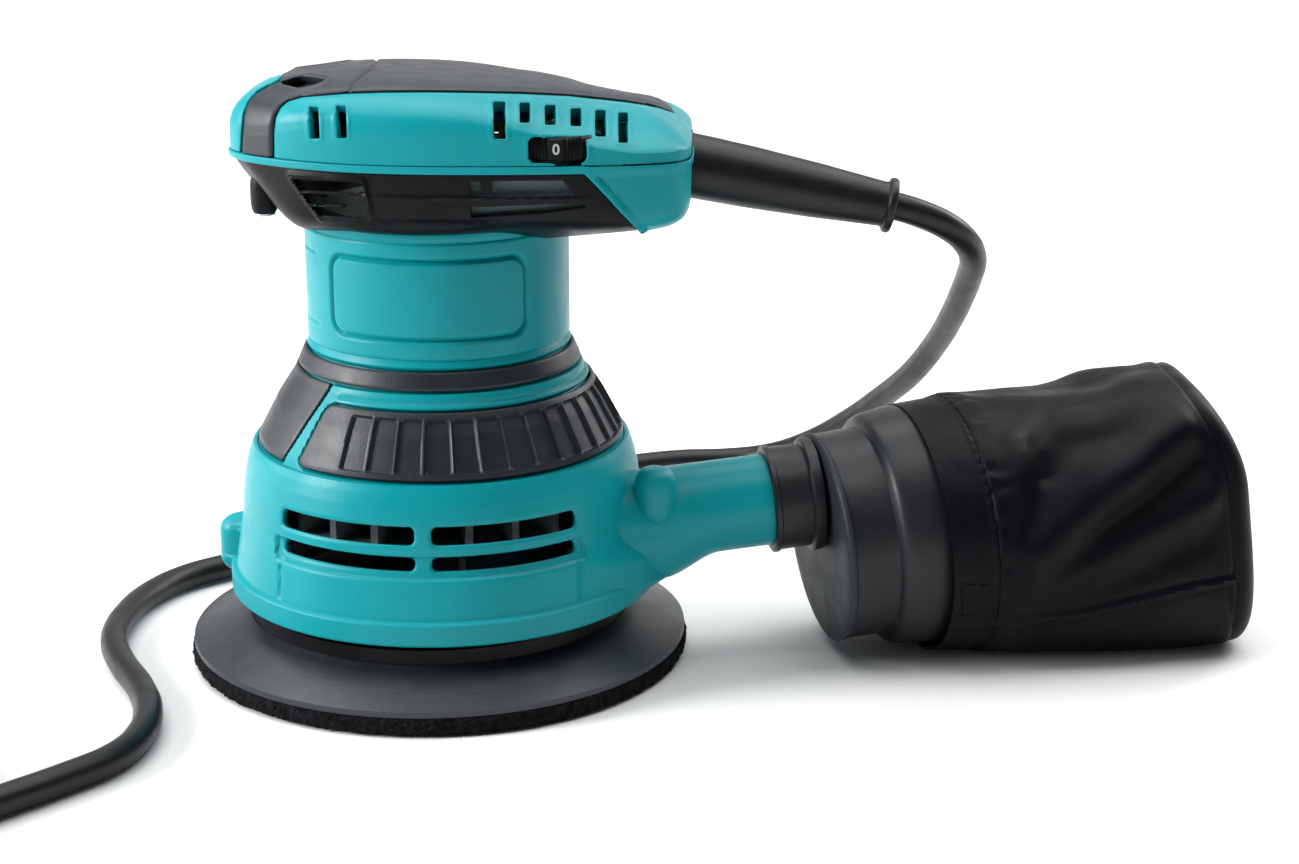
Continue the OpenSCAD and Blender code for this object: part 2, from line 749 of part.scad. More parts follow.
// ---------------------------------------------------------------- rotor

module armature_shaft() color([0.72, 0.73, 0.75]) {
  translate([0, 0, 35.8]) cylinder(r = bore_r - run, h = 26.4);
  translate([0, 0, 62.2]) cylinder(r = 6, h = 47.4);
  translate([0, 0, 109.6]) cylinder(r = 4 - run, h = 9);
}

module armature_core() color([0.5, 0.5, 0.52]) {
  slots = 12;
  difference() {
    translate([0, 0, core_z]) ring(17.5, 6 + seat, core_h);
    around(slots, 17.5) translate([-5, -0.8, core_z - 1]) cube([7, 1.6, core_h + 2]);
    around(slots, 12.6) translate([0, 0, core_z - 1]) cylinder(r = 2, h = core_h + 2, $fn = 24);
  }
}

module armature_windings() color([0.72, 0.4, 0.2]) {
  slots = 12;
  end_h = 4.2;
  for (z = [core_z - seat - end_h, core_z + core_h + seat])
    translate([0, 0, z]) rotate_extrude()
      polygon([[6 + seat, 0], [13.5, 0], [16, 1.2], [16, 3], [13.5, end_h], [6 + seat, end_h]]);
  around(slots, 12.6) translate([0, 0, core_z - 0.1]) cylinder(r = 1.9, h = core_h + 0.2, $fn = 24);
}

module commutator() color([0.75, 0.45, 0.22]) {
  bars = 24;
  difference() {
    union() {
      translate([0, 0, 99.7]) ring(12, 6 + seat, 1.4);
      translate([0, 0, 101.1]) ring(10.6, 6 + seat, 7);
    }
    around(bars, 10.6) translate([-1, -0.25, 99]) cube([3, 0.5, 12]);
  }
}

module fan() color([0.55, 0.57, 0.58]) {
  difference() {
    union() {
      translate([0, 0, fan_z]) cylinder(r = fan_r, h = 1.8);
      translate([0, 0, fan_z]) cylinder(r = 11, h = 12.4);
      around(fan_blades, fan_r, -91.3) translate([-20, -0.9, fan_z + 1.7]) cube([19.7, 1.8, 9.9]);
    }
    translate([0, 0, fan_z - 1]) cylinder(r = bore_r, h = 20);
  }
}

module counterweight() color([0.45, 0.46, 0.48]) {
  difference() {
    union() {
      translate([0, 0, hub_z]) cylinder(r = 18.5, h = fan_z - hub_z - seat);
      translate([0, 0, 25]) rotate([0, 0, -75]) rotate_extrude(angle = 150) square([31, 8]);
    }
    translate([ecc, 0, hub_z - 1]) cylinder(r = 14 + seat, h = 15.5);
    translate([0, 0, 30]) cylinder(r = bore_r, h = 20);
    around(3, 16.4) translate([0, 0, hub_z - 1]) cylinder(r = 1, h = 9);
  }
}

module pad_bearing() color([0.75, 0.76, 0.78]) {
  translate([ecc, 0, 22.6]) ball_bearing(6, 14, 8, 8);
}

module bearing_retainer() color([0.6, 0.61, 0.63]) {
  difference() {
    translate([0, 0, hub_z - 1.3]) cylinder(r = 18.5, h = 1.2);
    translate([ecc, 0, hub_z - 3]) cylinder(r = 12.2, h = 5);
    around(3, 16.4) translate([0, 0, hub_z - 3]) cylinder(r = 1.1, h = 9);
  }
}

module retainer_screws() color([0.7, 0.7, 0.72]) {
  around(3, 16.4) translate([0, 0, hub_z - 2.5]) screw(1.7, 1.1, 0.95, 8);
}

// ---------------------------------------------------------------- pad

module pad_spindle() color([0.7, 0.71, 0.73]) {
  translate([ecc, 0, 0])
    difference() {
      union() {
        translate([0, 0, plate_top + seat]) cylinder(r = 12, h = 2.6);
        translate([0, 0, plate_top + seat]) cylinder(r = 9, h = 6.4);
        translate([0, 0, 20]) cylinder(r = 6 - run, h = 10.8);
      }
      translate([0, 0, 24]) cylinder(r = 2.5, h = 8);
      around(4, pad_screw_pcd / 2, 45) translate([0, 0, 15]) cylinder(r = 1.6, h = 3.2);
    }
}

module spindle_bolt() color([0.65, 0.66, 0.68]) {
  translate([ecc, 0, 30.9]) cylinder(r = 7.4, h = 1);
  translate([ecc, 0, 31.92]) cylinder(r = 4.2, h = 2.6, $fn = 6);
  translate([ecc, 0, 24.6]) cylinder(r = 2.4, h = 6.3);
}

// The dust holes, as solids to cut with
module dust_hole_set(z0, z1) {
  around(dust_holes, dust_hole_pcd / 2, 22.5) translate([0, 0, z0]) cylinder(d = dust_hole_d, h = z1 - z0);
}

module pad_plate() color([0.07, 0.07, 0.08]) {
  translate([ecc, 0, 0])
    difference() {
      union() {
        translate([0, 0, foam_top + seat]) cylinder(r = 48, h = plate_top - foam_top - seat);
        translate([0, 0, 9]) cylinder(r = recess_r - seat, h = 5);
      }
      dust_hole_set(0, 20);
      around(4, pad_screw_pcd / 2, 45) translate([0, 0, 5]) cylinder(r = 1.7, h = 15);
    }
}

module backing_pad() color([0.28, 0.29, 0.31]) {
  r = pad_d / 2;
  translate([ecc, 0, 0])
    difference() {
      rotate_extrude() polygon([
        [recess_r, hook_t], [r - 1, hook_t], [r - 1, 4], [r, 4.8], [r, 6.2], [51.2, 11.4],
        [48.4, foam_top], [recess_r, foam_top]
      ]);
      dust_hole_set(0, 20);
    }
}

module hook_layer() color([0.05, 0.05, 0.05]) {
  translate([ecc, 0, 0])
    difference() {
      ring(pad_d / 2 - 1, recess_r, hook_t - seat);
      dust_hole_set(-1, 5);
    }
}

module pad_screws() color([0.7, 0.7, 0.72]) {
  translate([ecc, 0, 0]) around(4, pad_screw_pcd / 2, 45) translate([0, 0, 6.6]) screw(3.1, 2.35, 1.5, 8.4);
}

// ---------------------------------------------------------------- dust bag

module bag_collar() color([0.06, 0.06, 0.07]) {
  difference() {
    union() {
      on_spout(collar_s) cylinder(r = 13, h = disc_s - collar_s - seat);
      on_spout(collar_s) cylinder(r = 13.5, h = 1.4);
      on_spout(disc_s - 2.2) cylinder(r = 13.9, h = 2.2 - seat);
    }
    on_spout(collar_s - 1) cylinder(r = spout_d / 2 + run, h = spout_tip_s - collar_s + 1.4);
    on_spout(collar_s - 1) cylinder(r = spout_bore_r, h = 30);
  }
}

module bag_disc() color([0.25, 0.26, 0.28]) {
  difference() {
    on_spout(disc_s, drum_drop) cylinder(d = drum_d, h = drum_s - disc_s - seat);
    on_spout(disc_s - 1) cylinder(r = spout_bore_r, h = 10);
  }
}

module bag_drum() color([0.1, 0.1, 0.11]) {
  r0 = drum_d / 2;
  r1 = rim_d / 2;
  wall = 1.8;
  on_spout(0, drum_drop) rotate_extrude() polygon([
    [r0 - wall, drum_s], [r0, drum_s], [r0, cone_s], [r0 + 0.5, cone_s + 0.5], [r1 - 0.6, rim_s - 1.5],
    [r1, rim_s], [r1, rim_end_s], [r1 - wall, rim_end_s], [r1 - wall, rim_s], [r0 - wall, cone_s]
  ]);
}

// The bag's outer form, moved in by d
module bag_form(d) {
  hull() {
    on_spout(rim_s + 0.3 + d, drum_drop) cylinder(r = rim_d / 2 + bag_wall - d, h = 0.6, $fn = 40);
    for (y = [-17, 17]) {
      translate([178, y + 12.5, 57]) sphere(r = 12 - d, $fn = 24);
      translate([194, y + 14.5, 12.6]) sphere(r = 12 - d, $fn = 24);
      translate([190, y + 14, 40]) sphere(r = 12 - d, $fn = 24);
    }
  }
}

module bag_fabric() color([0.07, 0.08, 0.09]) {
  difference() {
    bag_form(0);
    difference() {
      bag_form(bag_wall);
      slab(-20, 0.6 + bag_wall);
    }
    on_spout(60, drum_drop) cylinder(r = rim_d / 2 + 0.05, h = rim_end_s - 60 + 0.1);
    slab(-20, 0.6);
  }
}

module bag_tab() color([0.09, 0.09, 0.1]) {
  on_spout(84, drum_drop) rotate([0, 0, -60]) translate([rim_d / 2 + 3.2, -5, 0]) cube([1.2, 10, 9]);
}

// ---------------------------------------------------------------- cord

module power_cord() color([0.05, 0.05, 0.06]) {
  swept_tube(smooth(cord_route, 2), cord_d / 2, 8);
}

module cord_tail() color([0.05, 0.05, 0.06]) {
  swept_tube(tail_route, cord_d / 2, 8);
}

module cord_coil() color([0.05, 0.05, 0.06]) {
  h = coil_z[1] - coil_z[0];
  translate([coil_at.x, coil_at.y, coil_z[0]]) rotate_extrude()
    polygon([
      [coil_in, 2], [coil_in + 2, 0], [coil_out - 2, 0], [coil_out, 2], [coil_out, h - 2],
      [coil_out - 2, h], [coil_in + 2, h], [coil_in, h - 2]
    ]);
}

module cord_ties() color([0.1, 0.1, 0.1]) {
  w = coil_out - coil_in;
  h = coil_z[1] - coil_z[0];
  translate([coil_at.x, coil_at.y, 0])
    for (a = [20, 250])
      rotate([0, 0, a]) translate([coil_in - tie_t - 0.5, -tie_w / 2, 0])
        difference() {
          cube([w + 2 * tie_t + 1, tie_w, h + 2 * tie_t + 0.1]);
          translate([tie_t, -1, tie_t - 0.02]) cube([w + 1, tie_w + 2, h + 0.1]);
        }
}

module plug_body() color([0.06, 0.06, 0.07]) {
  translate(plug_at) rotate([0, 0, 90]) {
    rotate([0, 90, 0]) difference() {
      cylinder(r1 = 4.2, r2 = 6.2, h = 22);
      translate([0, 0, -1]) cylinder(d = cord_d + 0.1, h = 1.05);
    }
    translate([0, 0, -plug_h / 2]) linear_extrude(plug_h)
      polygon([[20, -7], [34, -14], [40, -17], [56, -17], [56, 17], [40, 17], [34, 14], [20, 7]]);
  }
}

module plug_pins() color([0.78, 0.79, 0.8]) {
  pin_pitch = 18.6;
  translate(plug_at) rotate([0, 0, 90])
    for (y = [-1, 1]) translate([56.02, y * pin_pitch / 2, 0]) rotate([0, 90, 0]) {
      cylinder(r = 2, h = 18);
      translate([0, 0, 18]) sphere(r = 2, $fn = 32);
    }
}

head_shell();
head_base();
grip_cover();
vent_collar();
motor_cap();
motor_housing();
bell_cover();
rib_grip();
dust_skirt();
brake_ring();
bearing_plate();
lower_bearing();
upper_bearing();
stator_core();
field_coils();
brush_holders();
carbon_brushes();
brush_springs();
switch_body();
speed_module();
capacitor();
core_leads();
cord_guard();
cord_clamp();
clamp_screws();
head_screws();
plate_screws();
armature_shaft();
armature_core();
armature_windings();
commutator();
fan();
counterweight();
pad_bearing();
bearing_retainer();
retainer_screws();
pad_spindle();
spindle_bolt();
pad_plate();
backing_pad();
hook_layer();
pad_screws();
switch_rocker();
speed_dial();
bag_collar();
bag_disc();
bag_drum();
bag_fabric();
bag_tab();
power_cord();
cord_coil();
cord_tail();
cord_ties();
plug_body();
plug_pins();
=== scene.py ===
"""The looks of a random orbit sander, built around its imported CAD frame. Metres, +Z up."""

import json
import math

import bmesh
import bpy
import numpy as np
from mathutils import Matrix, Vector, noise


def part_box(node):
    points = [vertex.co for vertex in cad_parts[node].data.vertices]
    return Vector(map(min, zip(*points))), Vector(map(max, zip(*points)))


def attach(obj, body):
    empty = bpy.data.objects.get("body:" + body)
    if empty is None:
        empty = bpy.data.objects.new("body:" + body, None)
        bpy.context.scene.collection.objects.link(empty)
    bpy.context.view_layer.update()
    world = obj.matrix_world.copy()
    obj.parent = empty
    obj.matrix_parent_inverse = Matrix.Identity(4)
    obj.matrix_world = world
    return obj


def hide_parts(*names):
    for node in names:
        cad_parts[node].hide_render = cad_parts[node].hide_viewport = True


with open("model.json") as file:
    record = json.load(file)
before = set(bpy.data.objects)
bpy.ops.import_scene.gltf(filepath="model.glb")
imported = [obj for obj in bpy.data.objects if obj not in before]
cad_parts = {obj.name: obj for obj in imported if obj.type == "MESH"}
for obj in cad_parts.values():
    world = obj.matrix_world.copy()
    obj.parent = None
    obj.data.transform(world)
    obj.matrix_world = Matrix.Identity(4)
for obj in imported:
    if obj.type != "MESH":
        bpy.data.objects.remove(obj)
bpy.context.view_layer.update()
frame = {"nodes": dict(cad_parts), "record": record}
MM = 0.001

# ---------- camera

CAMERA_AT = (0.0614, -0.5843, 0.2241)
CAMERA_PITCH = 16.0
CAMERA_YAW = 0.9
CAMERA_LENS = 67.0

camera = bpy.data.objects.new("camera", bpy.data.cameras.new("camera"))
bpy.context.scene.collection.objects.link(camera)
camera.location = CAMERA_AT
camera.rotation_euler = (math.radians(90 - CAMERA_PITCH), 0, math.radians(CAMERA_YAW))
camera.data.lens = CAMERA_LENS
camera.data.sensor_width = 36
camera.data.clip_start = 0.01
bpy.context.scene.camera = camera

# ---------- cord route

CORD_R = 3.5
CORD_ROUTE = [
    (109, 0, 114.9), (113, 0, 114.1), (120.1, 1.7, 111.5), (126.3, 5, 108),
    (131.2, 10.4, 103.2), (133.9, 17.8, 97.6), (134.3, 27.4, 91), (133.9, 37, 84.4),
    (132.9, 51, 74.8), (130.4, 70.5, 61.8), (126, 86, 50), (119, 106, 37), (110, 124, 24.5),
    (99, 139, 13.5), (87, 149, 6.5), (74, 153, 3.8), (60, 152, 3.6), (44, 146, 3.6),
    (20, 132, 3.6), (-5, 115, 3.6), (-28, 95, 3.6), (-48, 71, 3.6), (-64, 50, 3.6),
    (-75, 39, 3.6), (-82, 25, 3.6), (-85, 8, 3.6), (-84, -9, 3.6), (-78, -26, 3.6),
    (-70, -42, 3.6), (-65, -57, 3.6), (-64, -71, 3.6), (-67, -83, 3.6), (-75, -94, 3.6),
    (-86, -106.4, 3.7), (-99, -121, 3.9), (-112.6, -136, 4.1),
]
TAIL_ROUTE = [
    (-195.3, -94, 10.8), (-193.6, -84, 9.7), (-190.4, -74, 8.3),
    (-186.8, -65, 7.3), (-184.6, -57.5, 6.95), (-184, -50, 6.85),
]
COIL_AT = (-148, -104.5)
COIL_TURNS = 5.383
COIL_FROM = -41.7
COIL_R = (47.5, 28.5)
COIL_Z = (4.1, 11.1)
COIL_CLIMB = 0.14


def smoothstep(t):
    """0 below 0, 1 above 1 and a smooth rise between."""
    t = np.clip(t, 0, 1)
    return t * t * (3 - 2 * t)


def coil_points():
    """The stored length: a flat spiral inwards, a climb, and a flat spiral outwards on top of it."""
    points, steps = [], 24
    count = int(COIL_TURNS * steps)
    for i in range(1, count + 1):
        done = i / count
        angle = math.radians(COIL_FROM - 360 * COIL_TURNS * done)
        r = COIL_R[1] + (COIL_R[0] - COIL_R[1]) * abs(2 * done - 1)
        turned = (done - 0.5) * COIL_TURNS
        rise = float(smoothstep(0.5 + turned / (2 * COIL_CLIMB)))
        z = COIL_Z[0] + (COIL_Z[1] - COIL_Z[0]) * rise
        points.append((COIL_AT[0] + r * math.cos(angle), COIL_AT[1] + r * math.sin(angle), z))
    return points


def make_cord():
    """The whole cord as one curve, from inside its guard to the plug."""
    curve = bpy.data.curves.new("mains_cord", "CURVE")
    curve.dimensions = "3D"
    curve.bevel_depth = CORD_R * MM
    curve.bevel_resolution = 6
    curve.resolution_u = 5
    curve.use_fill_caps = True
    points = CORD_ROUTE + coil_points() + TAIL_ROUTE
    spline = curve.splines.new("BEZIER")
    spline.bezier_points.add(len(points) - 1)
    for knot, p in zip(spline.bezier_points, points):
        knot.co = Vector(p) * MM
        knot.handle_left_type = knot.handle_right_type = "AUTO"
    piece = bpy.data.objects.new("mains_cord", curve)
    bpy.context.scene.collection.objects.link(piece)
    return piece


cord = make_cord()

# ---------- stage and light


FLOOR_FRONT = -1.6
FLOOR_BACK = 1.3
FLOOR_HALF = 3.2
FLOOR_DROP = 0.0002
SWEEP_R = 0.8
BACKDROP_TOP = 3


def make_stage():
    """A plain pale floor, a hair under the sander, that curves up into a backdrop."""
    bm = bmesh.new()
    turns = np.linspace(0, math.pi / 2, 24)
    sweep = [(FLOOR_BACK + SWEEP_R * math.sin(a), SWEEP_R - SWEEP_R * math.cos(a)) for a in turns]
    rows = []
    for y, z in [(FLOOR_FRONT, 0), *sweep, (FLOOR_BACK + SWEEP_R, BACKDROP_TOP)]:
        rows.append([bm.verts.new((x, y, z - FLOOR_DROP)) for x in (-FLOOR_HALF, FLOOR_HALF)])
    for a, b in zip(rows, rows[1:]):
        bm.faces.new((a[0], a[1], b[1], b[0])).smooth = True
    mesh = bpy.data.meshes.new("floor")
    bm.to_mesh(mesh)
    floor = bpy.data.objects.new("floor", mesh)
    bpy.context.scene.collection.objects.link(floor)


def area_light(name, at, target, size, power):
    data = bpy.data.lights.new(name, "AREA")
    data.shape = "RECTANGLE"
    data.size, data.size_y = size
    data.energy = power
    lamp = bpy.data.objects.new(name, data)
    bpy.context.scene.collection.objects.link(lamp)
    lamp.location = at
    lamp.rotation_euler = (Vector(target) - Vector(at)).to_track_quat("-Z", "Y").to_euler()


def make_lights():
    middle = (0.03, 0, 0.06)
    area_light("key", (-1.05, -0.32, 0.5), middle, (0.3, 0.6), 18)
    area_light("top", (0.1, 0.35, 1.5), (0.1, 0.3, 0), (2.4, 1.8), 46)
    area_light("rim", (0.95, 0.75, 0.7), middle, (0.4, 0.9), 8)
    area_light("side", (-1.1, 0.3, 0.5), middle, (0.4, 0.8), 6)
    world = bpy.data.worlds.new("studio")
    bpy.context.scene.world = world
    world.use_nodes = True
    world.node_tree.nodes["Background"].inputs["Color"].default_value = (0.95, 0.97, 1, 1)
    world.node_tree.nodes["Background"].inputs["Strength"].default_value = 0.14


make_stage()
make_lights()
bpy.context.scene.view_settings.view_transform = "Standard"

# ---------- materials


class Nodes:
    """A short way to add and join shader nodes."""

    def __init__(self, name):
        self.material = bpy.data.materials.new(name)
        self.material.use_nodes = True
        self.tree = self.material.node_tree
        self.shader = self.tree.nodes["Principled BSDF"]
        self.place = self.add("ShaderNodeTexCoord").outputs["Object"]

    def add(self, kind, inputs=(), **settings):
        node = self.tree.nodes.new(kind)
        for key, value in settings.items():
            setattr(node, key, value)
        for key, value in dict(inputs).items():
            self.put(value, node.inputs[key])
        return node

    def put(self, value, socket):
        if isinstance(value, bpy.types.NodeSocket):
            self.tree.links.new(value, socket)
        else:
            socket.default_value = value

    def set(self, **values):
        for key, value in values.items():
            self.put(value, self.shader.inputs[key.replace("_", " ")])

    def noise(self, scale, detail=3.0, rough=0.5, stretch=None):
        place = self.place
        if stretch:
            place = self.add("ShaderNodeMapping", {"Vector": place, "Scale": stretch}).outputs[0]
        found = self.add("ShaderNodeTexNoise",
                         {"Vector": place, "Scale": scale, "Detail": detail, "Roughness": rough})
        return found.outputs["Fac"]

    def span(self, value, low, high, start=0.3, end=0.7):
        """value from start..end spread over low..high."""
        inputs = {"Value": value, "From Min": start, "From Max": end, "To Min": low, "To Max": high}
        return self.add("ShaderNodeMapRange", inputs).outputs[0]

    def mix(self, share, a, b):
        inputs = {"Factor": share, "A": (*a, 1), "B": (*b, 1)}
        return self.add("ShaderNodeMix", inputs, data_type="RGBA").outputs["Result"]

    def bump(self, height, depth, strength=1.0, under=None):
        inputs = {"Height": height, "Distance": depth, "Strength": strength}
        if under is not None:
            inputs["Normal"] = under
        return self.add("ShaderNodeBump", inputs).outputs["Normal"]


def shade(color, k):
    return tuple(min(1, c * k) for c in color)


def plastic(name, color, rough, grain=2600.0, depth=0.00003, vary=0.08, gloss=0.3):
    """Moulded plastic: faint cloudiness in colour and gloss over a fine spark-eroded grain."""
    m = Nodes(name)
    cloud = m.noise(45.0, 4.0)
    color_now = m.mix(m.span(cloud, 0, 1), shade(color, 1 - vary), shade(color, 1 + vary))
    m.set(Base_Color=color_now, Specular_IOR_Level=gloss)
    m.set(Roughness=m.span(m.noise(160.0, 3.0), rough - 0.05, rough + 0.06))
    grain_now = m.bump(m.noise(grain, 2.0), depth)
    m.set(Normal=m.bump(m.noise(300.0, 2.0), depth * 2, 0.5, grain_now))
    return m.material


def metal(name, color, rough, grain=900.0):
    """Machined or drawn metal with a fine grain."""
    m = Nodes(name)
    lines = m.noise(grain, 3.0, stretch=(1, 1, 1))
    m.set(Base_Color=m.mix(m.span(m.noise(70.0), 0, 1), shade(color, 0.88), shade(color, 1.06)))
    m.set(Metallic=1.0, Roughness=m.span(lines, rough - 0.07, rough + 0.1))
    m.set(Normal=m.bump(lines, 0.00003))
    return m.material


def stack_lines(name, color):
    """Sheet-metal laminations stacked along Z."""
    m = Nodes(name)
    wave = m.add("ShaderNodeTexWave", {"Vector": m.place, "Scale": 320.0, "Distortion": 0.1},
                 wave_type="BANDS", bands_direction="Z").outputs["Fac"]
    m.set(Base_Color=m.mix(wave, shade(color, 0.55), color), Metallic=0.9)
    m.set(Roughness=m.span(m.noise(400.0), 0.3, 0.5), Normal=m.bump(wave, 0.0001))
    return m.material


def copper_wire(name):
    """Enamelled wire laid in close turns."""
    m = Nodes(name)
    wave = m.add("ShaderNodeTexWave", {"Vector": m.place, "Scale": 260.0, "Distortion": 1.2},
                 wave_type="BANDS", bands_direction="DIAGONAL").outputs["Fac"]
    m.set(Base_Color=m.mix(wave, (0.25, 0.07, 0.02), (0.75, 0.3, 0.12)), Metallic=0.85)
    m.set(Roughness=m.span(m.noise(300.0), 0.25, 0.4), Normal=m.bump(wave, 0.0003))
    return m.material


def hook_nap(name):
    """The pile of hook-and-loop fabric: tiny loops with a rough sheen."""
    m = Nodes(name)
    cells = m.add("ShaderNodeTexVoronoi", {"Vector": m.place, "Scale": 1500.0}).outputs["Distance"]
    m.set(Base_Color=m.mix(m.span(m.noise(500.0), 0, 1), (0.0015, 0.0015, 0.002), (0.009, 0.01, 0.012)))
    m.set(Roughness=m.span(cells, 0.75, 0.98, 0, 0.6), Specular_IOR_Level=0.1)
    m.set(Normal=m.bump(m.noise(900.0, 4.0), 0.0004, 0.8, m.bump(cells, 0.0003)))
    return m.material


def bag_cloth(name):
    """Coated woven cloth: a plain weave under a thin coat, with soft crushed patches."""
    m = Nodes(name)
    weave = [m.add("ShaderNodeTexWave", {"Vector": m.place, "Scale": 900.0, "Distortion": 0.6},
                   wave_type="BANDS", bands_direction=way).outputs["Fac"] for way in ("X", "Z")]
    both = m.add("ShaderNodeMath", {0: weave[0], 1: weave[1]}, operation="MULTIPLY").outputs[0]
    patch = m.noise(38.0, 5.0, 0.6)
    m.set(Base_Color=m.mix(m.span(patch, 0, 1), (0.0009, 0.0014, 0.0026), (0.0018, 0.0026, 0.0044)))
    m.set(Roughness=m.span(m.noise(110.0, 4.0), 0.36, 0.5), Specular_IOR_Level=0.1)
    wrinkle = m.bump(m.noise(180.0, 4.0, 0.6), 0.0004, 0.35)
    m.set(Normal=m.bump(both, 0.00006, 0.6, wrinkle))
    return m.material


TEAL = (0.001, 0.255, 0.29)
GREY = (0.0105, 0.0145, 0.0195)
LOOKS = {
    "teal_plastic": (plastic, TEAL, 0.36, {"vary": 0.05, "gloss": 0.2}),
    "soft_grip": (plastic, GREY, 0.43, {"grain": 2200.0, "depth": 0.00005, "vary": 0.1, "gloss": 0.42}),
    "black_plastic": (plastic, (0.003, 0.0038, 0.005), 0.4, {"vary": 0.15, "gloss": 0.14}),
    "cap_plastic": (plastic, (0.11, 0.17, 0.17), 0.5, {}),
    "fan_plastic": (plastic, (0.07, 0.08, 0.085), 0.5, {}),
    "pad_foam": (plastic, (0.018, 0.0215, 0.027), 0.36,
                 {"grain": 1500.0, "depth": 0.00004, "vary": 0.1, "gloss": 0.5}),
    "hook_fabric": (hook_nap, {}),
    "bag_cloth": (bag_cloth, {}),
    "cord_rubber": (plastic, (0.004, 0.0046, 0.0056), 0.4, {"grain": 900.0, "vary": 0.15, "gloss": 0.32}),
    "black_rubber": (plastic, (0.014, 0.014, 0.015), 0.6, {"grain": 1200.0, "depth": 0.00008}),
    "steel": (metal, (0.62, 0.63, 0.65), 0.26, {}),
    "lamination": (stack_lines, (0.35, 0.36, 0.38), {}),
    "copper": (copper_wire, {}),
    "brass": (metal, (0.78, 0.58, 0.24), 0.25, {}),
    "carbon": (plastic, (0.02, 0.02, 0.022), 0.7, {"grain": 800.0, "depth": 0.0002}),
    "aluminium": (metal, (0.66, 0.67, 0.69), 0.4, {"grain": 600.0}),
    "zinc": (metal, (0.33, 0.34, 0.36), 0.48, {"grain": 500.0}),
    "board": (plastic, (0.03, 0.14, 0.06), 0.4, {"vary": 0.2}),
    "capacitor_case": (plastic, (0.6, 0.42, 0.04), 0.25, {}),
    "lead_insulation": (plastic, (0.03, 0.09, 0.32), 0.4, {}),
    # The bag collar and drum: the same black plastic as black_plastic, with its base colour raised as painted
    # light for the soft highlights they catch, beside a real higher gloss.
    "drum_plastic": (plastic, (0.008, 0.0095, 0.012), 0.42, {"vary": 0.12, "gloss": 0.32}),
    # The disc's face: the same black plastic painted lighter grey, as painted light where the face turns to the
    # key lamp.
    "drum_face": (plastic, (0.02, 0.023, 0.028), 0.5, {"vary": 0.12, "gloss": 0.2}),
    "marking": (plastic, (0.36, 0.4, 0.4), 0.5, {}),
}
looks = {name: make(name, *values, **more) for name, (make, *values, more) in LOOKS.items()}
slot_of = {p["node"]: p["material_slot"] for p in frame["record"]["subparts"]}


def wear(piece, look):
    """Gives a piece one of the looks."""
    piece.data.materials.clear()
    piece.data.materials.append(looks[look])


for name, node in frame["nodes"].items():
    node.data.materials.clear()
    node.data.materials.append(looks[slot_of[name]])
wear(cord, "cord_rubber")
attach(cord, "housing")
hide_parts("power_cord", "cord_coil", "cord_tail")

# ---------- surfaces and shells


def lines(low, high, step, stops=()):
    """Positions from low to high, at most step apart, that pass through every stop."""
    marks = sorted({low, high, *(s for s in stops if low < s < high)})
    found = [low]
    for a, b in zip(marks, marks[1:]):
        count = max(1, math.ceil((b - a) / step - 1e-6))
        found += [a + (b - a) * i / count for i in range(1, count + 1)]
    return np.array(found)


def normals(points, faces):
    """Outward normals at the points of a mesh of quads."""
    a, b, c, d = (points[faces[:, i]] for i in range(4))
    across = np.cross(c - a, d - b)
    found = np.zeros_like(points)
    for i in range(4):
        np.add.at(found, faces[:, i], across)
    return found / np.maximum(np.linalg.norm(found, axis=1, keepdims=True), 1e-12)


def sheet_of(points, closed=False):
    """Quads over a grid of points (rows, columns, 3). closed joins the last row to the first."""
    rows, columns = points.shape[:2]
    index = np.arange(rows * columns).reshape(rows, columns)
    if closed:
        index = np.vstack([index, index[:1]])
    faces = np.stack([index[:-1, :-1], index[1:, :-1], index[1:, 1:], index[:-1, 1:]], -1).reshape(-1, 4)
    flat = points.reshape(-1, 3)
    return flat, faces, normals(flat, faces)


def slope(field, points, step=0.02):
    """The gradient of a field at points."""
    found = np.zeros_like(points)
    for axis in range(3):
        move = np.zeros(3)
        move[axis] = step
        found[:, axis] = (field(points + move) - field(points - move)) / (2 * step)
    return found


def border_of(faces):
    """Directed edges that only one face has."""
    edges = np.concatenate([faces[:, [i, (i + 1) % 4]] for i in range(4)])
    edges = edges[edges[:, 0] != edges[:, 1]]
    known = {tuple(e) for e in edges.tolist()}
    return np.array([e for e in edges.tolist() if (e[1], e[0]) not in known])


def make_piece(name, points, faces, look, body, replaced=(), crease=38):
    """A mesh object in millimetres of points and faces, smooth but for its sharp edges."""
    mesh = bpy.data.meshes.new(name)
    mesh.from_pydata((np.asarray(points) * MM).tolist(), [], [list(map(int, f)) for f in faces])
    mesh.validate()
    mesh.shade_smooth()
    mesh.set_sharp_from_angle(angle=math.radians(crease))
    piece = bpy.data.objects.new(name, mesh)
    bpy.context.scene.collection.objects.link(piece)
    wear(piece, look)
    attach(piece, body)
    if replaced:
        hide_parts(*replaced)
    return piece


WELD = 0.12


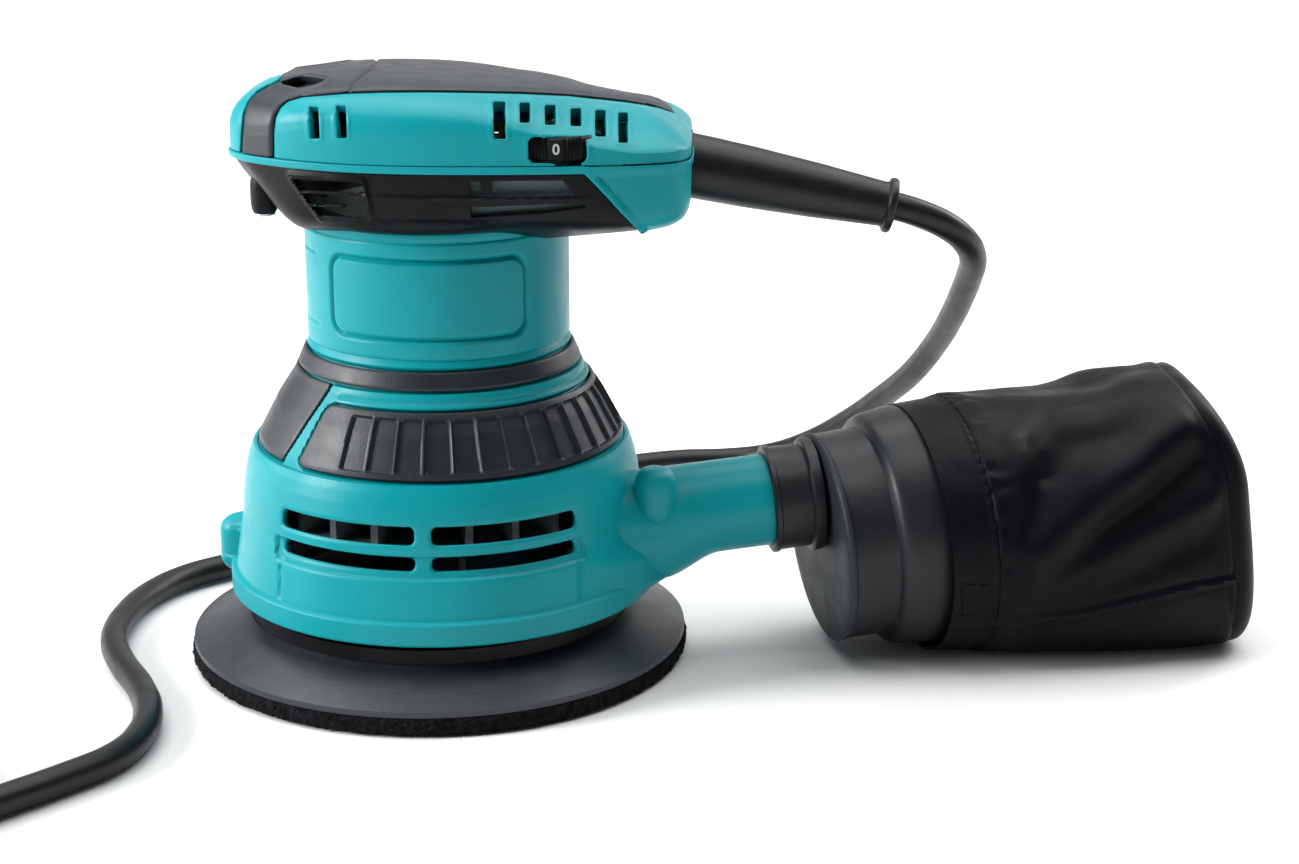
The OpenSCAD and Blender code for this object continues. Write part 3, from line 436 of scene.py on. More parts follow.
def shell(name, surface, inside, depth, look, body, replaced=(), edge=0.35):
    """A closed shell cut out of a surface: kept where inside(points) < 0, with rounded rims.
    depth is its thickness and edge the radius of its rims."""
    points, faces, up = surface
    points = points.copy()
    if inside is not None:
        value = inside(points)
        faces = faces[value[faces].mean(1) < -edge]
        rim = np.unique(border_of(faces))
        for _ in range(3):
            at = points[rim]
            now = inside(at) + edge
            way = slope(inside, at)
            way -= (way * up[rim]).sum(1, keepdims=True) * up[rim]
            size = (way * way).sum(1)
            near = (np.abs(now) < 1.6) & (size > 0.05)
            move = np.where(near, now / np.maximum(size, 0.05), 0)
            points[rim] = at - way * move[:, None]
    border = border_of(faces)
    # Rim points that landed almost on each other become one
    same = np.arange(len(points))
    short = np.linalg.norm(points[border[:, 0]] - points[border[:, 1]], axis=1) < WELD
    for a, b in border[short]:
        same[same == same[b]] = same[a]
    faces = same[faces]
    border = border_of(faces)
    used = np.unique(faces)
    spot = np.full(len(points), -1)
    spot[used] = np.arange(len(used))
    faces, border = spot[faces], spot[border]
    points, up = points[used], up[used]
    # Outward direction along the surface at each rim point
    out = np.zeros_like(points)
    along = points[border[:, 1]] - points[border[:, 0]]
    side = np.cross(along, up[border[:, 0]])
    np.add.at(out, border[:, 0], side)
    np.add.at(out, border[:, 1], side)
    rim = np.unique(border)
    out = out[rim] / np.maximum(np.linalg.norm(out[rim], axis=1, keepdims=True), 1e-9)
    count, size = len(points), len(rim)
    place = {int(v): i for i, v in enumerate(rim)}
    rings, base = [], points[rim]
    for angle in (30, 60, 90):
        a = math.radians(angle)
        rings.append(base + out * edge * math.sin(a) - up[rim] * edge * (1 - math.cos(a)))
    inner = points - up * depth
    inner[rim] = base + out * edge - up[rim] * depth
    every = np.concatenate([points, *rings, inner])
    polygons = [f[np.insert(np.diff(f) != 0, 0, f[0] != f[-1])] for f in faces]
    polygons = [f for f in polygons if len(set(f.tolist())) > 2]
    first_inner = count + 3 * size
    polygons += [(f + first_inner)[::-1] for f in polygons]
    for a, b in border:
        ia, ib = place[int(a)], place[int(b)]
        levels_a = [int(a)] + [count + k * size + ia for k in range(3)] + [first_inner + int(a)]
        levels_b = [int(b)] + [count + k * size + ib for k in range(3)] + [first_inner + int(b)]
        for k in range(4):
            polygons.append([levels_b[k], levels_a[k], levels_a[k + 1], levels_b[k + 1]])
    return make_piece(name, every, polygons, look, body, replaced)


def skin(node, surface, inside, depth, look, edge=0.35):
    """The shell that stands for one CAD node of the housing."""
    shell(f"{node}_skin", surface, inside, depth, look, "housing", [node], edge)


def box_field(x, z, middle, half, radius=0.4):
    """Signed distance to a rectangle with rounded corners."""
    dx = np.abs(x - middle[0]) - half[0] + radius
    dz = np.abs(z - middle[1]) - half[1] + radius
    return np.hypot(np.maximum(dx, 0), np.maximum(dz, 0)) + np.minimum(np.maximum(dx, dz), 0) - radius


def polygon_field(x, y, corners):
    """Signed distance to a polygon, negative inside."""
    best = np.full(x.shape, 1e9)
    odd = np.zeros(x.shape, bool)
    for (ax, ay), (bx, by) in zip(corners, corners[1:] + corners[:1]):
        px, py, ex, ey = x - ax, y - ay, bx - ax, by - ay
        t = np.clip((px * ex + py * ey) / (ex * ex + ey * ey), 0, 1)
        best = np.minimum(best, np.hypot(px - ex * t, py - ey * t))
        if ay != by:
            odd ^= ((ay > y) != (by > y)) & (x < ex * (y - ay) / ey + ax)
    return np.where(odd, -best, best)


def bend(degrees, start=0.0):
    """An angle brought to within half a turn of start."""
    return (degrees - start + 180) % 360 - 180


def spline_through(knots, count):
    """Evenly spaced points on a smooth curve through the knots."""
    knots = np.array(knots, float)
    n = len(knots)
    ends = np.vstack([2 * knots[0] - knots[1], knots, 2 * knots[-1] - knots[-2]])
    a, b, c, d = (ends[k:k + n - 1][None] for k in range(4))
    t = np.linspace(0, 1, 24, endpoint=False)[:, None, None]
    square, cube = 2 * a - 5 * b + 4 * c - d, 3 * b - a - 3 * c + d
    dense = 0.5 * (2 * b + (c - a) * t + square * t ** 2 + cube * t ** 3)
    dense = dense.transpose(1, 0, 2).reshape(-1, knots.shape[1])
    return evenly(np.vstack([dense, knots[-1:]]), count)


def evenly(path, count):
    """count points spaced evenly along a path."""
    gone = np.concatenate([[0], np.cumsum(np.linalg.norm(np.diff(path, axis=0), axis=1))])
    wanted = np.linspace(0, gone[-1], count)
    return np.stack([np.interp(wanted, gone, path[:, k]) for k in range(path.shape[1])], -1)


def finely(path, step):
    """The points of a path, with more between them so that none are further apart than step."""
    found = [path[0]]
    for a, b in zip(path, path[1:]):
        size = math.dist(a, b)
        count = max(1, math.ceil(size / step))
        found += [tuple(p + (q - p) * i / count for p, q in zip(a, b)) for i in range(1, count + 1)]
    return np.array(found)


def lathe(profile, angles, step=0.5, whole=True):
    """A surface of revolution. The profile (r, z) runs so that outside is on its right."""
    line = finely(profile, step)
    a = np.radians(angles[:-1] if whole else angles)[:, None]
    grid = np.stack([line[:, 0] * np.cos(a), line[:, 0] * np.sin(a), line[:, 1] + 0 * a], -1)
    return sheet_of(grid, closed=whole)


def push(surface, amount):
    """Moves a surface out along its normals by amount(points)."""
    points, faces, up = surface
    points = points + up * amount(points)[:, None]
    return points, faces, normals(points, faces)


def polar(p):
    """The angle in degrees and the radius about the motor axis."""
    return np.degrees(np.arctan2(p[:, 1], p[:, 0])), np.hypot(p[:, 0], p[:, 1])


def arc(degrees, r):
    """The length of an arc."""
    return degrees * r * math.pi / 180


def dent(field, depth, soft=0.5):
    """-depth inside a field, with sides that are soft wide."""
    return -depth * smoothstep(0.5 - field / soft)


def groove(field, width, depth):
    """A round-bottomed line where a field is 0."""
    return -depth * np.exp(-(field / width) ** 2)


def rings_piece(name, rings, look, body, replaced=(), crease=38, closed=True):
    """A closed solid skinned over rings of points. closed joins the last ring to the first,
    and otherwise both ends are capped."""
    count, size = len(rings), len(rings[0])
    points = np.concatenate(rings)
    polygons = []
    for i in range(count if closed else count - 1):
        a, b = i * size, (i + 1) % count * size
        for k in range(size):
            n = (k + 1) % size
            polygons.append([a + k, a + n, b + n, b + k])
    if not closed:
        polygons.append(list(range(size))[::-1])
        polygons.append(list(range((count - 1) * size, count * size)))
    return make_piece(name, points, polygons, look, body, replaced, crease)


def pill(name, at, half, look, square):
    """A round upright block on the housing, of half sizes about a point. square is how boxy its ends are."""
    turn = np.linspace(0, 2 * math.pi, 64, endpoint=False)
    x, y = np.cos(turn) * half[0], np.sin(turn) * half[1]
    rings = []
    for lift in np.radians(np.linspace(-86, 86, 35)):
        size = math.cos(lift) ** (2 / square)
        level = math.copysign(abs(math.sin(lift)) ** (2 / square), lift) * half[2]
        rings.append(np.column_stack([x * size, y * size, np.full(len(turn), level)]) + np.array(at))
    rings_piece(name, rings, look, "housing", closed=False)


# ---------- head

PLAN = [(62.6, 0), (62.4, 18), (61.4, 26), (58, 30.4), (51, 33.4), (40, 35.8), (24, 37.4), (7, 37.8),
        (-4, 37.2), (-15, 35.4), (-24, 32.4), (-33, 27.8), (-42.6, 20.6), (-47.3, 13.4), (-48.2, 7), (-48.4, 0)]
CREST = [(-51, 147.4), (-50, 147.4), (-41, 147.4), (-32, 147.4), (-16, 147.7), (0, 147.3), (16, 145.8),
         (30, 144.3), (37, 142.5), (44, 141.2), (52, 140.4), (64, 140)]
MEDIAL = (-12, 44)
NECK_R = 32.5
BELLY_TOP = 129.2
# Height of the underside at the neck: at the nose, in the middle and at the rear
UNDERSIDE = (110.6, 112.7, 108.5)


def head_surface():
    """The whole outside of the head, from the neck up to the crest."""
    half = spline_through(PLAN, 301)
    loop = np.vstack([half, half[-2:0:-1] * (1, -1)])
    side = np.abs(np.degrees(np.arctan2(loop[:, 1], loop[:, 0])))
    nose, rear = smoothstep((side - 118) / 42), 1 - smoothstep((side - 22) / 42)
    middle = 1 - nose - rear
    low = UNDERSIDE[0] * nose + UNDERSIDE[1] * middle + UNDERSIDE[2] * rear
    lean = 0.3 * middle + 0.16 * rear
    power = 1.2 * nose + 5 * middle + 8 * rear
    shoulder = 137.5 - 3.5 * smoothstep((-26 - loop[:, 0]) / 18) - 5 * smoothstep((loop[:, 0] - 20) / 34)
    crest_x, crest_z = np.array(spline_through(CREST, 200)).T
    columns = []
    t = np.linspace(0, 1, 160)
    for i, o in enumerate(loop):
        foot = NECK_R * o / np.hypot(*o)
        span = np.hypot(*(o - foot))
        line = low[i] + lean[i] * t * span
        z = line + (BELLY_TOP - line[-1]) * (1 - (1 - t ** power[i]) ** (1 / power[i]))
        belly = np.column_stack([foot + (o - foot) * t[:, None], z])
        wall = np.column_stack([np.tile(o, (22, 1)), np.linspace(BELLY_TOP, shoulder[i], 22)])
        centre = np.array([np.clip(o[0], *MEDIAL), 0])
        rho = np.linspace(1, 0, 160)
        flat = centre + (o - centre) * rho[:, None]
        top = np.interp(flat[:, 0], crest_x, crest_z)
        tail = smoothstep((flat[:, 0] - 8) / 28)
        z = shoulder[i] + (top - shoulder[i]) * (1 - rho ** (3.2 - 1.2 * tail)) ** (0.385 + 0.365 * tail)
        dome = np.column_stack([flat, z])
        columns.append(np.vstack([evenly(belly, 56)[:-1], wall[:-1], evenly(dome, 74)]))
    points, faces, _ = sheet_of(np.array(columns), closed=True)
    _, first, same = np.unique(points.round(3), axis=0, return_index=True, return_inverse=True)
    same = first[same.ravel()]
    faces = same[faces]
    faces = faces[[len(set(f)) > 2 for f in faces.tolist()]]
    return points, faces, normals(points, faces)


# Marks on the head's sides are drawn in mm on two flat planes beside it, and carried from there to its curved
# wall along lines from the camera. The far side mirrors the near one, but for FAR_DROP and FAR_GRIP.
GRIP_AREA = [(-41.1, 124.6), (-40.8, 131.9), (-40.3, 137.3), (-39.7, 141.9), (-38.8, 144.4), (-37.8, 145.8),
             (-36.4, 147.2), (-34.9, 148.1), (-31.4, 149.8), (-29.6, 151.9), (-29.3, 165), (56.9, 165),
             (57.2, 146), (58.2, 144.8), (58.4, 144), (57.4, 143.6), (55.8, 143.7), (51.8, 144.5),
             (46.1, 145.3), (34.8, 146.5), (23.5, 147), (12.2, 147.2), (3.1, 147.3), (-7.1, 147.2),
             (-16.2, 146.9), (-25.9, 146.1), (-29.3, 145.1), (-31.1, 143.6), (-32.3, 141.3), (-32.8, 138.4),
             (-33.4, 124.6)]
# Each vent: its middle (x, z), half width, half height and corner radius
SIDE_VENTS = [(-23.49, 140.17, 1, 3.65, 0.2), (-17.28, 140.36, 1.07, 3.7, 0.2),
              (18.76, 140.75, 1.35, 4.23, 0.2), (24.57, 142.59, 1.17, 2.18, 0.2),
              (30.34, 142.11, 1.2, 2.14, 0.2), (36.15, 141.61, 1.18, 1.9, 0.2),
              (41.71, 140.23, 1.18, 2.9, 0.2), (46.86, 139.23, 1.02, 3.33, 0.2)]
DIAL_WINDOW = (31.84, 134, 6.66, 2.99, 1.6)
SIDE_PLANE = 37.5
FAR_DROP = 3.5
FAR_GRIP = 3.0
COLLAR_PLANE = 36
BASE_Z = (128.3, 130.05)
SHELL_Z = 130.15
ROCKER_AT = (-29.2, 14.8)
ROCKER_SIZE = (6.1, 3.5)
ROCKER_TURN = 50


def seen(p, plane=SIDE_PLANE):
    """Where the line from the camera through a point meets the plane |y| = plane."""
    eye = [c / MM for c in CAMERA_AT]
    share = (-plane - eye[1]) / (-np.abs(p[:, 1]) - eye[1])
    return eye[0] + (p[:, 0] - eye[0]) * share, eye[2] + (p[:, 2] - eye[2]) * share


def grip_field(p):
    """Negative under the soft grip, whose tail reaches further down on the far side."""
    across, up = seen(p)
    up = up + FAR_GRIP * smoothstep(p[:, 1] / 6) * smoothstep((p[:, 0] - 18) / 14)
    return polygon_field(across, up, GRIP_AREA)


def side_box(p, box):
    x, z, wide, high, corner = box
    across, up = seen(p)
    up = up + FAR_DROP * (p[:, 1] > 0)
    return np.maximum(box_field(across, up, (x, z), (wide, high), corner), 12 - np.abs(p[:, 1]))


def rocker_field(p):
    a = math.radians(ROCKER_TURN)
    x, y = p[:, 0] - ROCKER_AT[0], np.abs(p[:, 1]) - ROCKER_AT[1]
    along, across = x * math.cos(a) + y * math.sin(a), y * math.cos(a) - x * math.sin(a)
    return np.maximum(box_field(along, across, (0, 0), ROCKER_SIZE, ROCKER_SIZE[1] - 0.1), 140 - p[:, 2])


SEAM = [(36, 128.3), (38.6, 126.6), (42.6, 122.8), (46.2, 118.9), (49.5, 115.3), (58, 105), (90, 90),
        (90, 150), (36, 150)]
SEAM_R = 50
SEAM_CORNER = 3


def seam_field(p):
    """Negative behind the curved seam between the black collar and the teal rear."""
    line = polygon_field(*seen(p, COLLAR_PLANE), SEAM)
    under = SEAM_R - np.hypot(p[:, 0], p[:, 1])
    return (line + under + np.sqrt((line - under) ** 2 + SEAM_CORNER ** 2)) / 2


SLATS = [[(-29.2, 126.8), (-13.2, 125.8), (-12.7, 123.7), (-27.8, 124.4)],
         [(-27.1, 123.4), (-12.5, 122.8), (-12.1, 120.7), (-25.8, 121.3)],
         [(-25.1, 120.4), (-12.1, 120), (-11.9, 117.9), (-23.3, 118.4)]]
GRILLE = [(-30, 127.7), (-13.4, 126.3), (-11.5, 117.1), (-22.9, 117.5)]
WINDOW_HIGH = [(11.4, 126.3), (13.8, 126.3), (13.9, 123.6), (16.4, 123.5), (16.7, 126.5), (32.9, 126.7),
               (35.6, 123.3), (11.7, 122.7)]
WINDOW_LOW = [(11.6, 120.4), (37.2, 121.4), (38.6, 120.6), (28.2, 119.1), (11.7, 118)]
POST_AT = (-40, 13, 119.3)
POST_HALF = (3.3, 3.3, 5.4)


def side_polygon(p, corners):
    return np.maximum(polygon_field(*seen(p, COLLAR_PLANE), corners), 10 - np.abs(p[:, 1]))


head = head_surface()


def build_head():
    def shell_inside(p):
        value = np.maximum(SHELL_Z - p[:, 2], -grip_field(p))
        for box in SIDE_VENTS:
            value = np.maximum(value, -side_box(p, box))
        dial = np.where(p[:, 1] < 0, side_box(p, DIAL_WINDOW), 9)
        return np.maximum(value, -dial)

    def bevels(p):
        """A raised bead round every vent, and a soft edge beside the grip."""
        found = -0.3 * smoothstep(1 - grip_field(p) / 0.9)
        for box in SIDE_VENTS + [DIAL_WINDOW]:
            found = found + 0.22 * np.exp(-((side_box(p, box) - 0.5) / 0.35) ** 2)
        return found

    skin("head_shell", push(head, bevels), shell_inside, 2.6, "teal_plastic", 0.22)

    def grip_shape(p):
        x, y = p[:, 0], p[:, 1]
        line = groove(x + 14.6 + 0.004 * y ** 2, 0.45, 0.6)
        ring = 0.35 * np.exp(-((rocker_field(p) - 1.3) / 0.9) ** 2)
        lip = -0.5 * smoothstep(1 + grip_field(p) / 1.1)
        return 0.35 + line + ring + lip

    def grip_inside(p):
        return np.maximum(np.maximum(grip_field(p) + 0.12, SHELL_Z + 0.05 - p[:, 2]), -rocker_field(p))

    skin("grip_cover", push(head, grip_shape), grip_inside, 1.6, "soft_grip", 0.4)

    def base_inside(p):
        return np.maximum(p[:, 2] - BASE_Z[1], np.minimum(BASE_Z[0] - p[:, 2], seam_field(p)))

    def base_shape(p):
        strip = 0.5 * smoothstep((BASE_Z[1] - p[:, 2]) / 0.3) * smoothstep((p[:, 2] - BASE_Z[0] + 0.6) / 0.5)
        ledge = 0.5 * smoothstep((1.5 + seam_field(p)) / 0.35)
        cut = -0.25 * np.exp(-((seam_field(p) + 1.9) / 0.3) ** 2) * (p[:, 2] < BASE_Z[0] - 0.5)
        return np.maximum(strip, ledge) + cut

    skin("head_base", push(head, base_shape), base_inside, 2.4, "teal_plastic", 0.25)

    def collar_inside(p):
        value = np.maximum(p[:, 2] - BASE_Z[0] + 0.05, -seam_field(p) + 0.08)
        for corners in SLATS + [WINDOW_HIGH, WINDOW_LOW]:
            value = np.maximum(value, -side_polygon(p, corners))
        return value

    def collar_shape(p):
        x, z = seen(p, COLLAR_PLANE)
        side = smoothstep((np.abs(p[:, 1]) - 12) / 6)
        found = -0.4 + 0.5 * np.exp(-((side_polygon(p, GRILLE) - 0.3) / 0.5) ** 2)
        for corners in SLATS:
            found = found + 0.3 * np.exp(-((side_polygon(p, corners) - 0.35) / 0.3) ** 2)
        for level in (122.4, 116.8):
            run = smoothstep((x + 11.5) / 2) * smoothstep((26 - x) / 8 + 2 * (level > 120))
            found = found + 0.4 * np.exp(-((z - level) / 0.35) ** 2) * side * run
        return found

    skin("vent_collar", push(head, collar_shape), collar_inside, 1.4, "black_plastic", 0.2)
    for name, side in (("near", -1), ("far", 1)):
        pill(f"nose_post_{name}", POST_AT * np.array((1, side, 1)), POST_HALF, "black_plastic", 3.5)


build_head()

# ---------- motor housing and its covers

BELL = [(46.2, 54.2), (45, 58.5), (40.5, 67), (36, 74), (33, 80.7), (32.4, 82), (32.4, 113)]
BAND_Z = (76, 80.7)
PANEL_Z = 56.7
RIB_Z = (56.9, 72)
CELL_Z = (58.7, 70.1)
CELL_PITCH = 9
CELLS = 26
RIB_HALF = 0.36
RIB_END = 129.6
RIB_LEAN = 0.3
COVER_GAP = 0.1
# The label panel: its half width in degrees, the height of its middle and its half height
LABEL = (45.5, 97.2, 9.5)


def panel_field(p):
    """The nose panel and the band above it, in mm over the surface."""
    a, r = polar(p)
    z = p[:, 2]
    half = 39 + 10 * (z - 58) / 19
    side = arc(np.abs(bend(a, 180)) - half, r)
    panel = np.maximum(side, np.maximum(PANEL_Z - z, z - BAND_Z[0]) * 1.3)
    band = np.maximum(BAND_Z[0] - z, z - BAND_Z[1])
    return np.minimum(panel, band)


def rib_field(p):
    """The ribbed grip that runs round the back of the bell."""
    a, r = polar(p)
    along = arc(np.abs(a), r)
    half = arc(RIB_END + (RIB_Z[1] - p[:, 2]) * RIB_LEAN, r)
    middle, high = sum(RIB_Z) / 2, (RIB_Z[1] - RIB_Z[0]) / 2
    return box_field(along - half, p[:, 2] * 1.25, (-60, middle * 1.25), (60, high * 1.25), 3.0)


def cell_field(p):
    """The pockets between the ribs."""
    a, r = polar(p)
    inside_run = np.abs(a) - CELLS * CELL_PITCH / 2
    offset = np.abs((a + 1e3 * CELL_PITCH) % CELL_PITCH - CELL_PITCH / 2)
    middle, high = sum(CELL_Z) / 2, (CELL_Z[1] - CELL_Z[0]) / 2
    half = (r * math.radians(CELL_PITCH / 2) - RIB_HALF, high * 1.2)
    one = box_field(arc(offset, r), p[:, 2] * 1.2, (0, middle * 1.2), half, 0.5)
    return np.maximum(one, arc(inside_run, r))


def build_housing():
    angles = lines(-180, 180, 0.6)
    body = lathe(BELL, angles, 0.4)

    def housing_shape(p):
        a, r = polar(p)
        z = p[:, 2]
        sunk = np.minimum(panel_field(p), rib_field(p)) - 0.25
        found = dent(sunk, 1.5, 0.5)
        for level in (111.2, 82.7):
            found = found + groove(z - level, 0.35, 0.5)
        side = np.abs(bend(a, 180))
        found = found + groove(z - 73.6, 0.4, 0.4) * smoothstep((side - 53) / 2)
        for level in (88.6, 106):
            found = found + groove(z - level, 0.3, 0.35) * smoothstep((35 - side) / 4)
        across = arc(np.abs(np.abs(a) - 90), r)
        label = box_field(across, z, (0, LABEL[1]), (arc(LABEL[0], NECK_R), LABEL[2]), 4)
        return found + groove(label, 0.5, 1.15) * (np.abs(across) < 40)

    skin("motor_housing", push(body, housing_shape), None, 2.4, "teal_plastic")

    def cover_shape(p):
        a, r = polar(p)
        z = p[:, 2]
        flat = arc(np.abs(bend(a, 180)), r)
        mark = np.maximum(np.abs(box_field(flat, z, (0, 68.5), (3.2, 3.4), 2.6)) - 0.5, z - 71)
        return 0.15 - 0.35 * smoothstep(1 + panel_field(p) / 0.8) + dent(mark, 0.35, 0.4)

    skin("bell_cover", push(body, cover_shape), lambda p: panel_field(p) + COVER_GAP, 1.2, "soft_grip", 0.4)

    fine = lathe(BELL[:4], lines(-138, 138, 0.42), 0.4, whole=False)

    def rib_shape(p):
        return 0.35 - 0.4 * smoothstep(1 + rib_field(p) / 0.8) + dent(cell_field(p), 0.9, 0.45)

    skin("rib_grip", push(fine, rib_shape), lambda p: rib_field(p) + COVER_GAP, 0.6, "soft_grip")


build_housing()

# ---------- skirt and spout

SKIRT = [(50.6, 18.9), (53.4, 18.9), (53.8, 19.4), (53.8, 24), (53.4, 24.5), (52.4, 24.9), (51, 34),
         (50.2, 38), (49.8, 44), (49.3, 48), (48.6, 51.6), (47.7, 54.6), (46.9, 56.3), (46.2, 56.4)]
# Height and half height of each row of slots, and the slots' two ends in degrees from the side
SLOT_ROWS = [(45, 2), (38, 1.45)]
SLOT_ARC = (2.5, 45)
# Direction, height and reach of each screw boss
BOSSES = [(180, 27.4, 53), (82, 27.4, 53)]
BOSS_R = 4.3
SPOUT_BOSS_AT = (53.9, -16.6, 45.3)
SPOUT_BOSS_HALF = (5.2, 5.4, 7)
# The flat sides of the duct under the spout: direction and how far out each stands
DUCT = [(-44.4, 52), (0, 59.6), (33.1, 52.1)]
# Heights where the duct starts, is full, starts to fade and is gone
DUCT_Z = (19, 24, 30, 37)
SPOUT_AT = (51, -9, 37.5)
SPOUT_WAY = (0.982532, 0.16442, 0.087156)
SPOUT_TIP = 43
SPOUT_BORE = 9.3
SPOUT_R = 11.5


def along_spout(p):
    """Distance along the spout's axis and from it."""
    off = p - np.array(SPOUT_AT)
    along = off @ np.array(SPOUT_WAY)
    return along, np.linalg.norm(off - along[:, None] * np.array(SPOUT_WAY), axis=1)


def slot_field(p):
    a, r = polar(p)
    side = np.abs(np.abs(a) - 90)
    middle, half = sum(SLOT_ARC) / 2, (SLOT_ARC[1] - SLOT_ARC[0]) / 2
    scale = r * math.pi / 180
    return np.minimum.reduce([box_field(side * scale, p[:, 2], (middle * scale, row), (half * scale, high), 1.3)
                              for row, high in SLOT_ROWS])


def build_skirt():
    body = lathe(SKIRT, lines(-180, 180, 0.6), 0.5)

    def shape(p):
        a, r = polar(p)
        z = p[:, 2]
        found = np.zeros(len(p))
        for angle, height, reach in BOSSES:
            across = arc(bend(a, angle), r)
            off = np.hypot(across, np.maximum(np.abs(z - height) - 3, 0)) / (BOSS_R + 0.3)
            rise = (reach + BOSS_R - r) * np.sqrt(np.maximum(1 - off ** 2, 0))
            found = np.where((off < 1) & (r > 47), np.maximum(found, rise), found)
        sides = [np.cos(np.radians(np.clip(bend(a, turn), -80, 80))) / reach for turn, reach in DUCT]
        duct = 1 / np.power(np.sum(np.power(sides, 24), axis=0), 1 / 24)
        foot, full, fade, gone = DUCT_Z
        span = smoothstep((z - foot) / (full - foot)) * smoothstep((gone - z) / (gone - fade))
        ahead = (a > DUCT[0][0]) & (a < DUCT[2][0]) & (r > 49)
        found = np.where(ahead, np.maximum(found, (duct - r) * span), found)
        slot = slot_field(p)
        found = found - 0.6 * smoothstep(1 - slot / 0.7) * (slot < 3)
        ledge = box_field(arc(np.abs(np.abs(a) - 90), r), z, (0, 37.2), (42, 2.7), 1)
        found = found + dent(ledge, 0.95, 0.5)
        edge = arc(np.abs(bend(np.abs(a), 90)), r) - 40
        facet = np.maximum(np.abs(edge) - 0.5, np.maximum(25.4 - z, z - 34.5))
        return found + dent(facet, 0.45, 0.5) * (r > 50)

    def inside(p):
        along, off = along_spout(p)
        bore = np.where(along > -12, off - SPOUT_BORE, 9)
        return np.maximum(-slot_field(p), -bore)

    def spread(surface):
        """The bosses go straight out, not along the sloping normals."""
        points, faces, up = surface
        amount = shape(points)
        _, r = polar(points)
        out = np.column_stack([points[:, :2] / r[:, None], 0 * r])
        points = points + out * amount[:, None]
        return points, faces, normals(points, faces)

    skin("dust_skirt", spread(body), inside, 2.1, "teal_plastic")


def spout_frame():
    way = np.array(SPOUT_WAY)
    side = np.cross((0, 0, 1), way)
    side /= np.linalg.norm(side)
    return way, side, np.cross(way, side)


def build_spout():
    way, side, top = spout_frame()
    turn = np.radians(np.linspace(0, 360, 97)[:-1])

    def ring(s, radius):
        r = radius + 0 * turn
        across = np.outer(np.cos(turn) * r, side) + np.outer(np.sin(turn) * r, top)
        return np.array(SPOUT_AT) + way * s + across

    def outer(s):
        """The spout's radius, wider underneath where it leaves the skirt."""
        flare = 1 - smoothstep((s - 3) / 15)
        return SPOUT_R + flare * (5.0 * np.maximum(-np.sin(turn), 0) ** 1.3 + 0.8 * np.abs(np.cos(turn)) ** 3)

    rings = [ring(s, outer(s)) for s in np.linspace(-9, SPOUT_TIP - 0.6, 60)]
    rings += [ring(SPOUT_TIP - 0.2, SPOUT_R - 0.2), ring(SPOUT_TIP, SPOUT_R - 0.6)]
    rings.append(ring(SPOUT_TIP, SPOUT_BORE + 0.5))
    rings += [ring(s, SPOUT_BORE) for s in (SPOUT_TIP - 0.5, 20, 0, -9)]
    rings_piece("dust_spout", rings, "teal_plastic", "housing")
    pill("spout_boss", SPOUT_BOSS_AT, SPOUT_BOSS_HALF, "teal_plastic", 3.2)


build_skirt()
build_spout()

# ---------- pad


def rough(points, size, seed):
    """Smooth noise from -1 to 1 at points in mm, with features of about size."""
    offset = Vector((seed * 13.7, seed * 7.1, seed * 3.3))
    return np.array([noise.noise(Vector(p) / size + offset) for p in points.tolist()])


def box_centre(node):
    low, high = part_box(node)
    return [(a + b) / 2 / MM for a, b in zip(low, high)]


PAD_X = box_centre("backing_pad")[0]
HOOK = [(13, 0.15), (61.6, 0.15), (62.5, 0.6), (62.9, 1.6), (62.9, 3.6), (62.4, 4.6), (61.8, 4.7)]
HOLES = 8
HOLE_PCD = 65
HOLE_R = 5


def build_pad():
    body = lathe(HOOK, lines(-180, 180, 0.5), 0.5)
    points, faces, up = body
    r = np.hypot(points[:, 0], points[:, 1])
    edge = smoothstep((r - 60.5) / 1.2)
    tufts = rough(points, 1.1, 1) * 0.45 + rough(points, 0.45, 2) * 0.3
    points = points + up * ((0.04 + 0.96 * edge) * tufts)[:, None]
    points[:, 2] = np.maximum(points[:, 2], 0.02)

    def inside(p):
        value = np.full(len(p), -9.0)
        for k in range(HOLES):
            a = math.radians(360 * (k + 0.5) / HOLES)
            at = (HOLE_PCD / 2 * math.cos(a), HOLE_PCD / 2 * math.sin(a))
            value = np.maximum(value, HOLE_R - np.hypot(p[:, 0] - at[0], p[:, 1] - at[1]))
        return value

    piece = shell("hook_pile", (points, faces, normals(points, faces)), inside, 1.9, "hook_fabric", "pad",
                  ["hook_layer"], edge=0.15)
    piece.data.transform(Matrix.Translation((PAD_X * MM, 0, 0)))


build_pad()

# ---------- cord guard and plug

GUARD_AT = (63.4, 0, 124)
GUARD_DROOP = 11.3
GUARD = [(4, -4), (8.6, -4), (8.6, -2.4), (7.85, -2.1), (7.8, 3), (7.5, 14), (6.7, 30), (5.9, 41),
         (5.5, 46.6), (5.7, 47.3), (6.5, 47.6), (6.8, 48.1), (6.8, 48.9), (6.4, 49.5), (5.4, 49.7),
         (4.6, 49.9), (3.6, 49.9)]


def solid_of_revolution(name, profile, place, look, body, replaced=(), sides=96, crease=38, ripple=None):
    """A closed ring with a closed (r, z) profile, stood on a placing matrix in mm."""
    a = np.linspace(0, 2 * math.pi, sides, endpoint=False)
    rings = []
    for angle in a:
        line = np.array([(r * (1 if ripple is None else ripple(angle, r, z)), 0, z) for r, z in profile])
        c, s = math.cos(angle), math.sin(angle)
        ring = line @ np.array([[c, -s, 0], [s, c, 0], [0, 0, 1]]).T
        rings.append(np.array([place @ Vector(p) for p in ring]))
    return rings_piece(name, rings[::-1], look, body, replaced, crease)


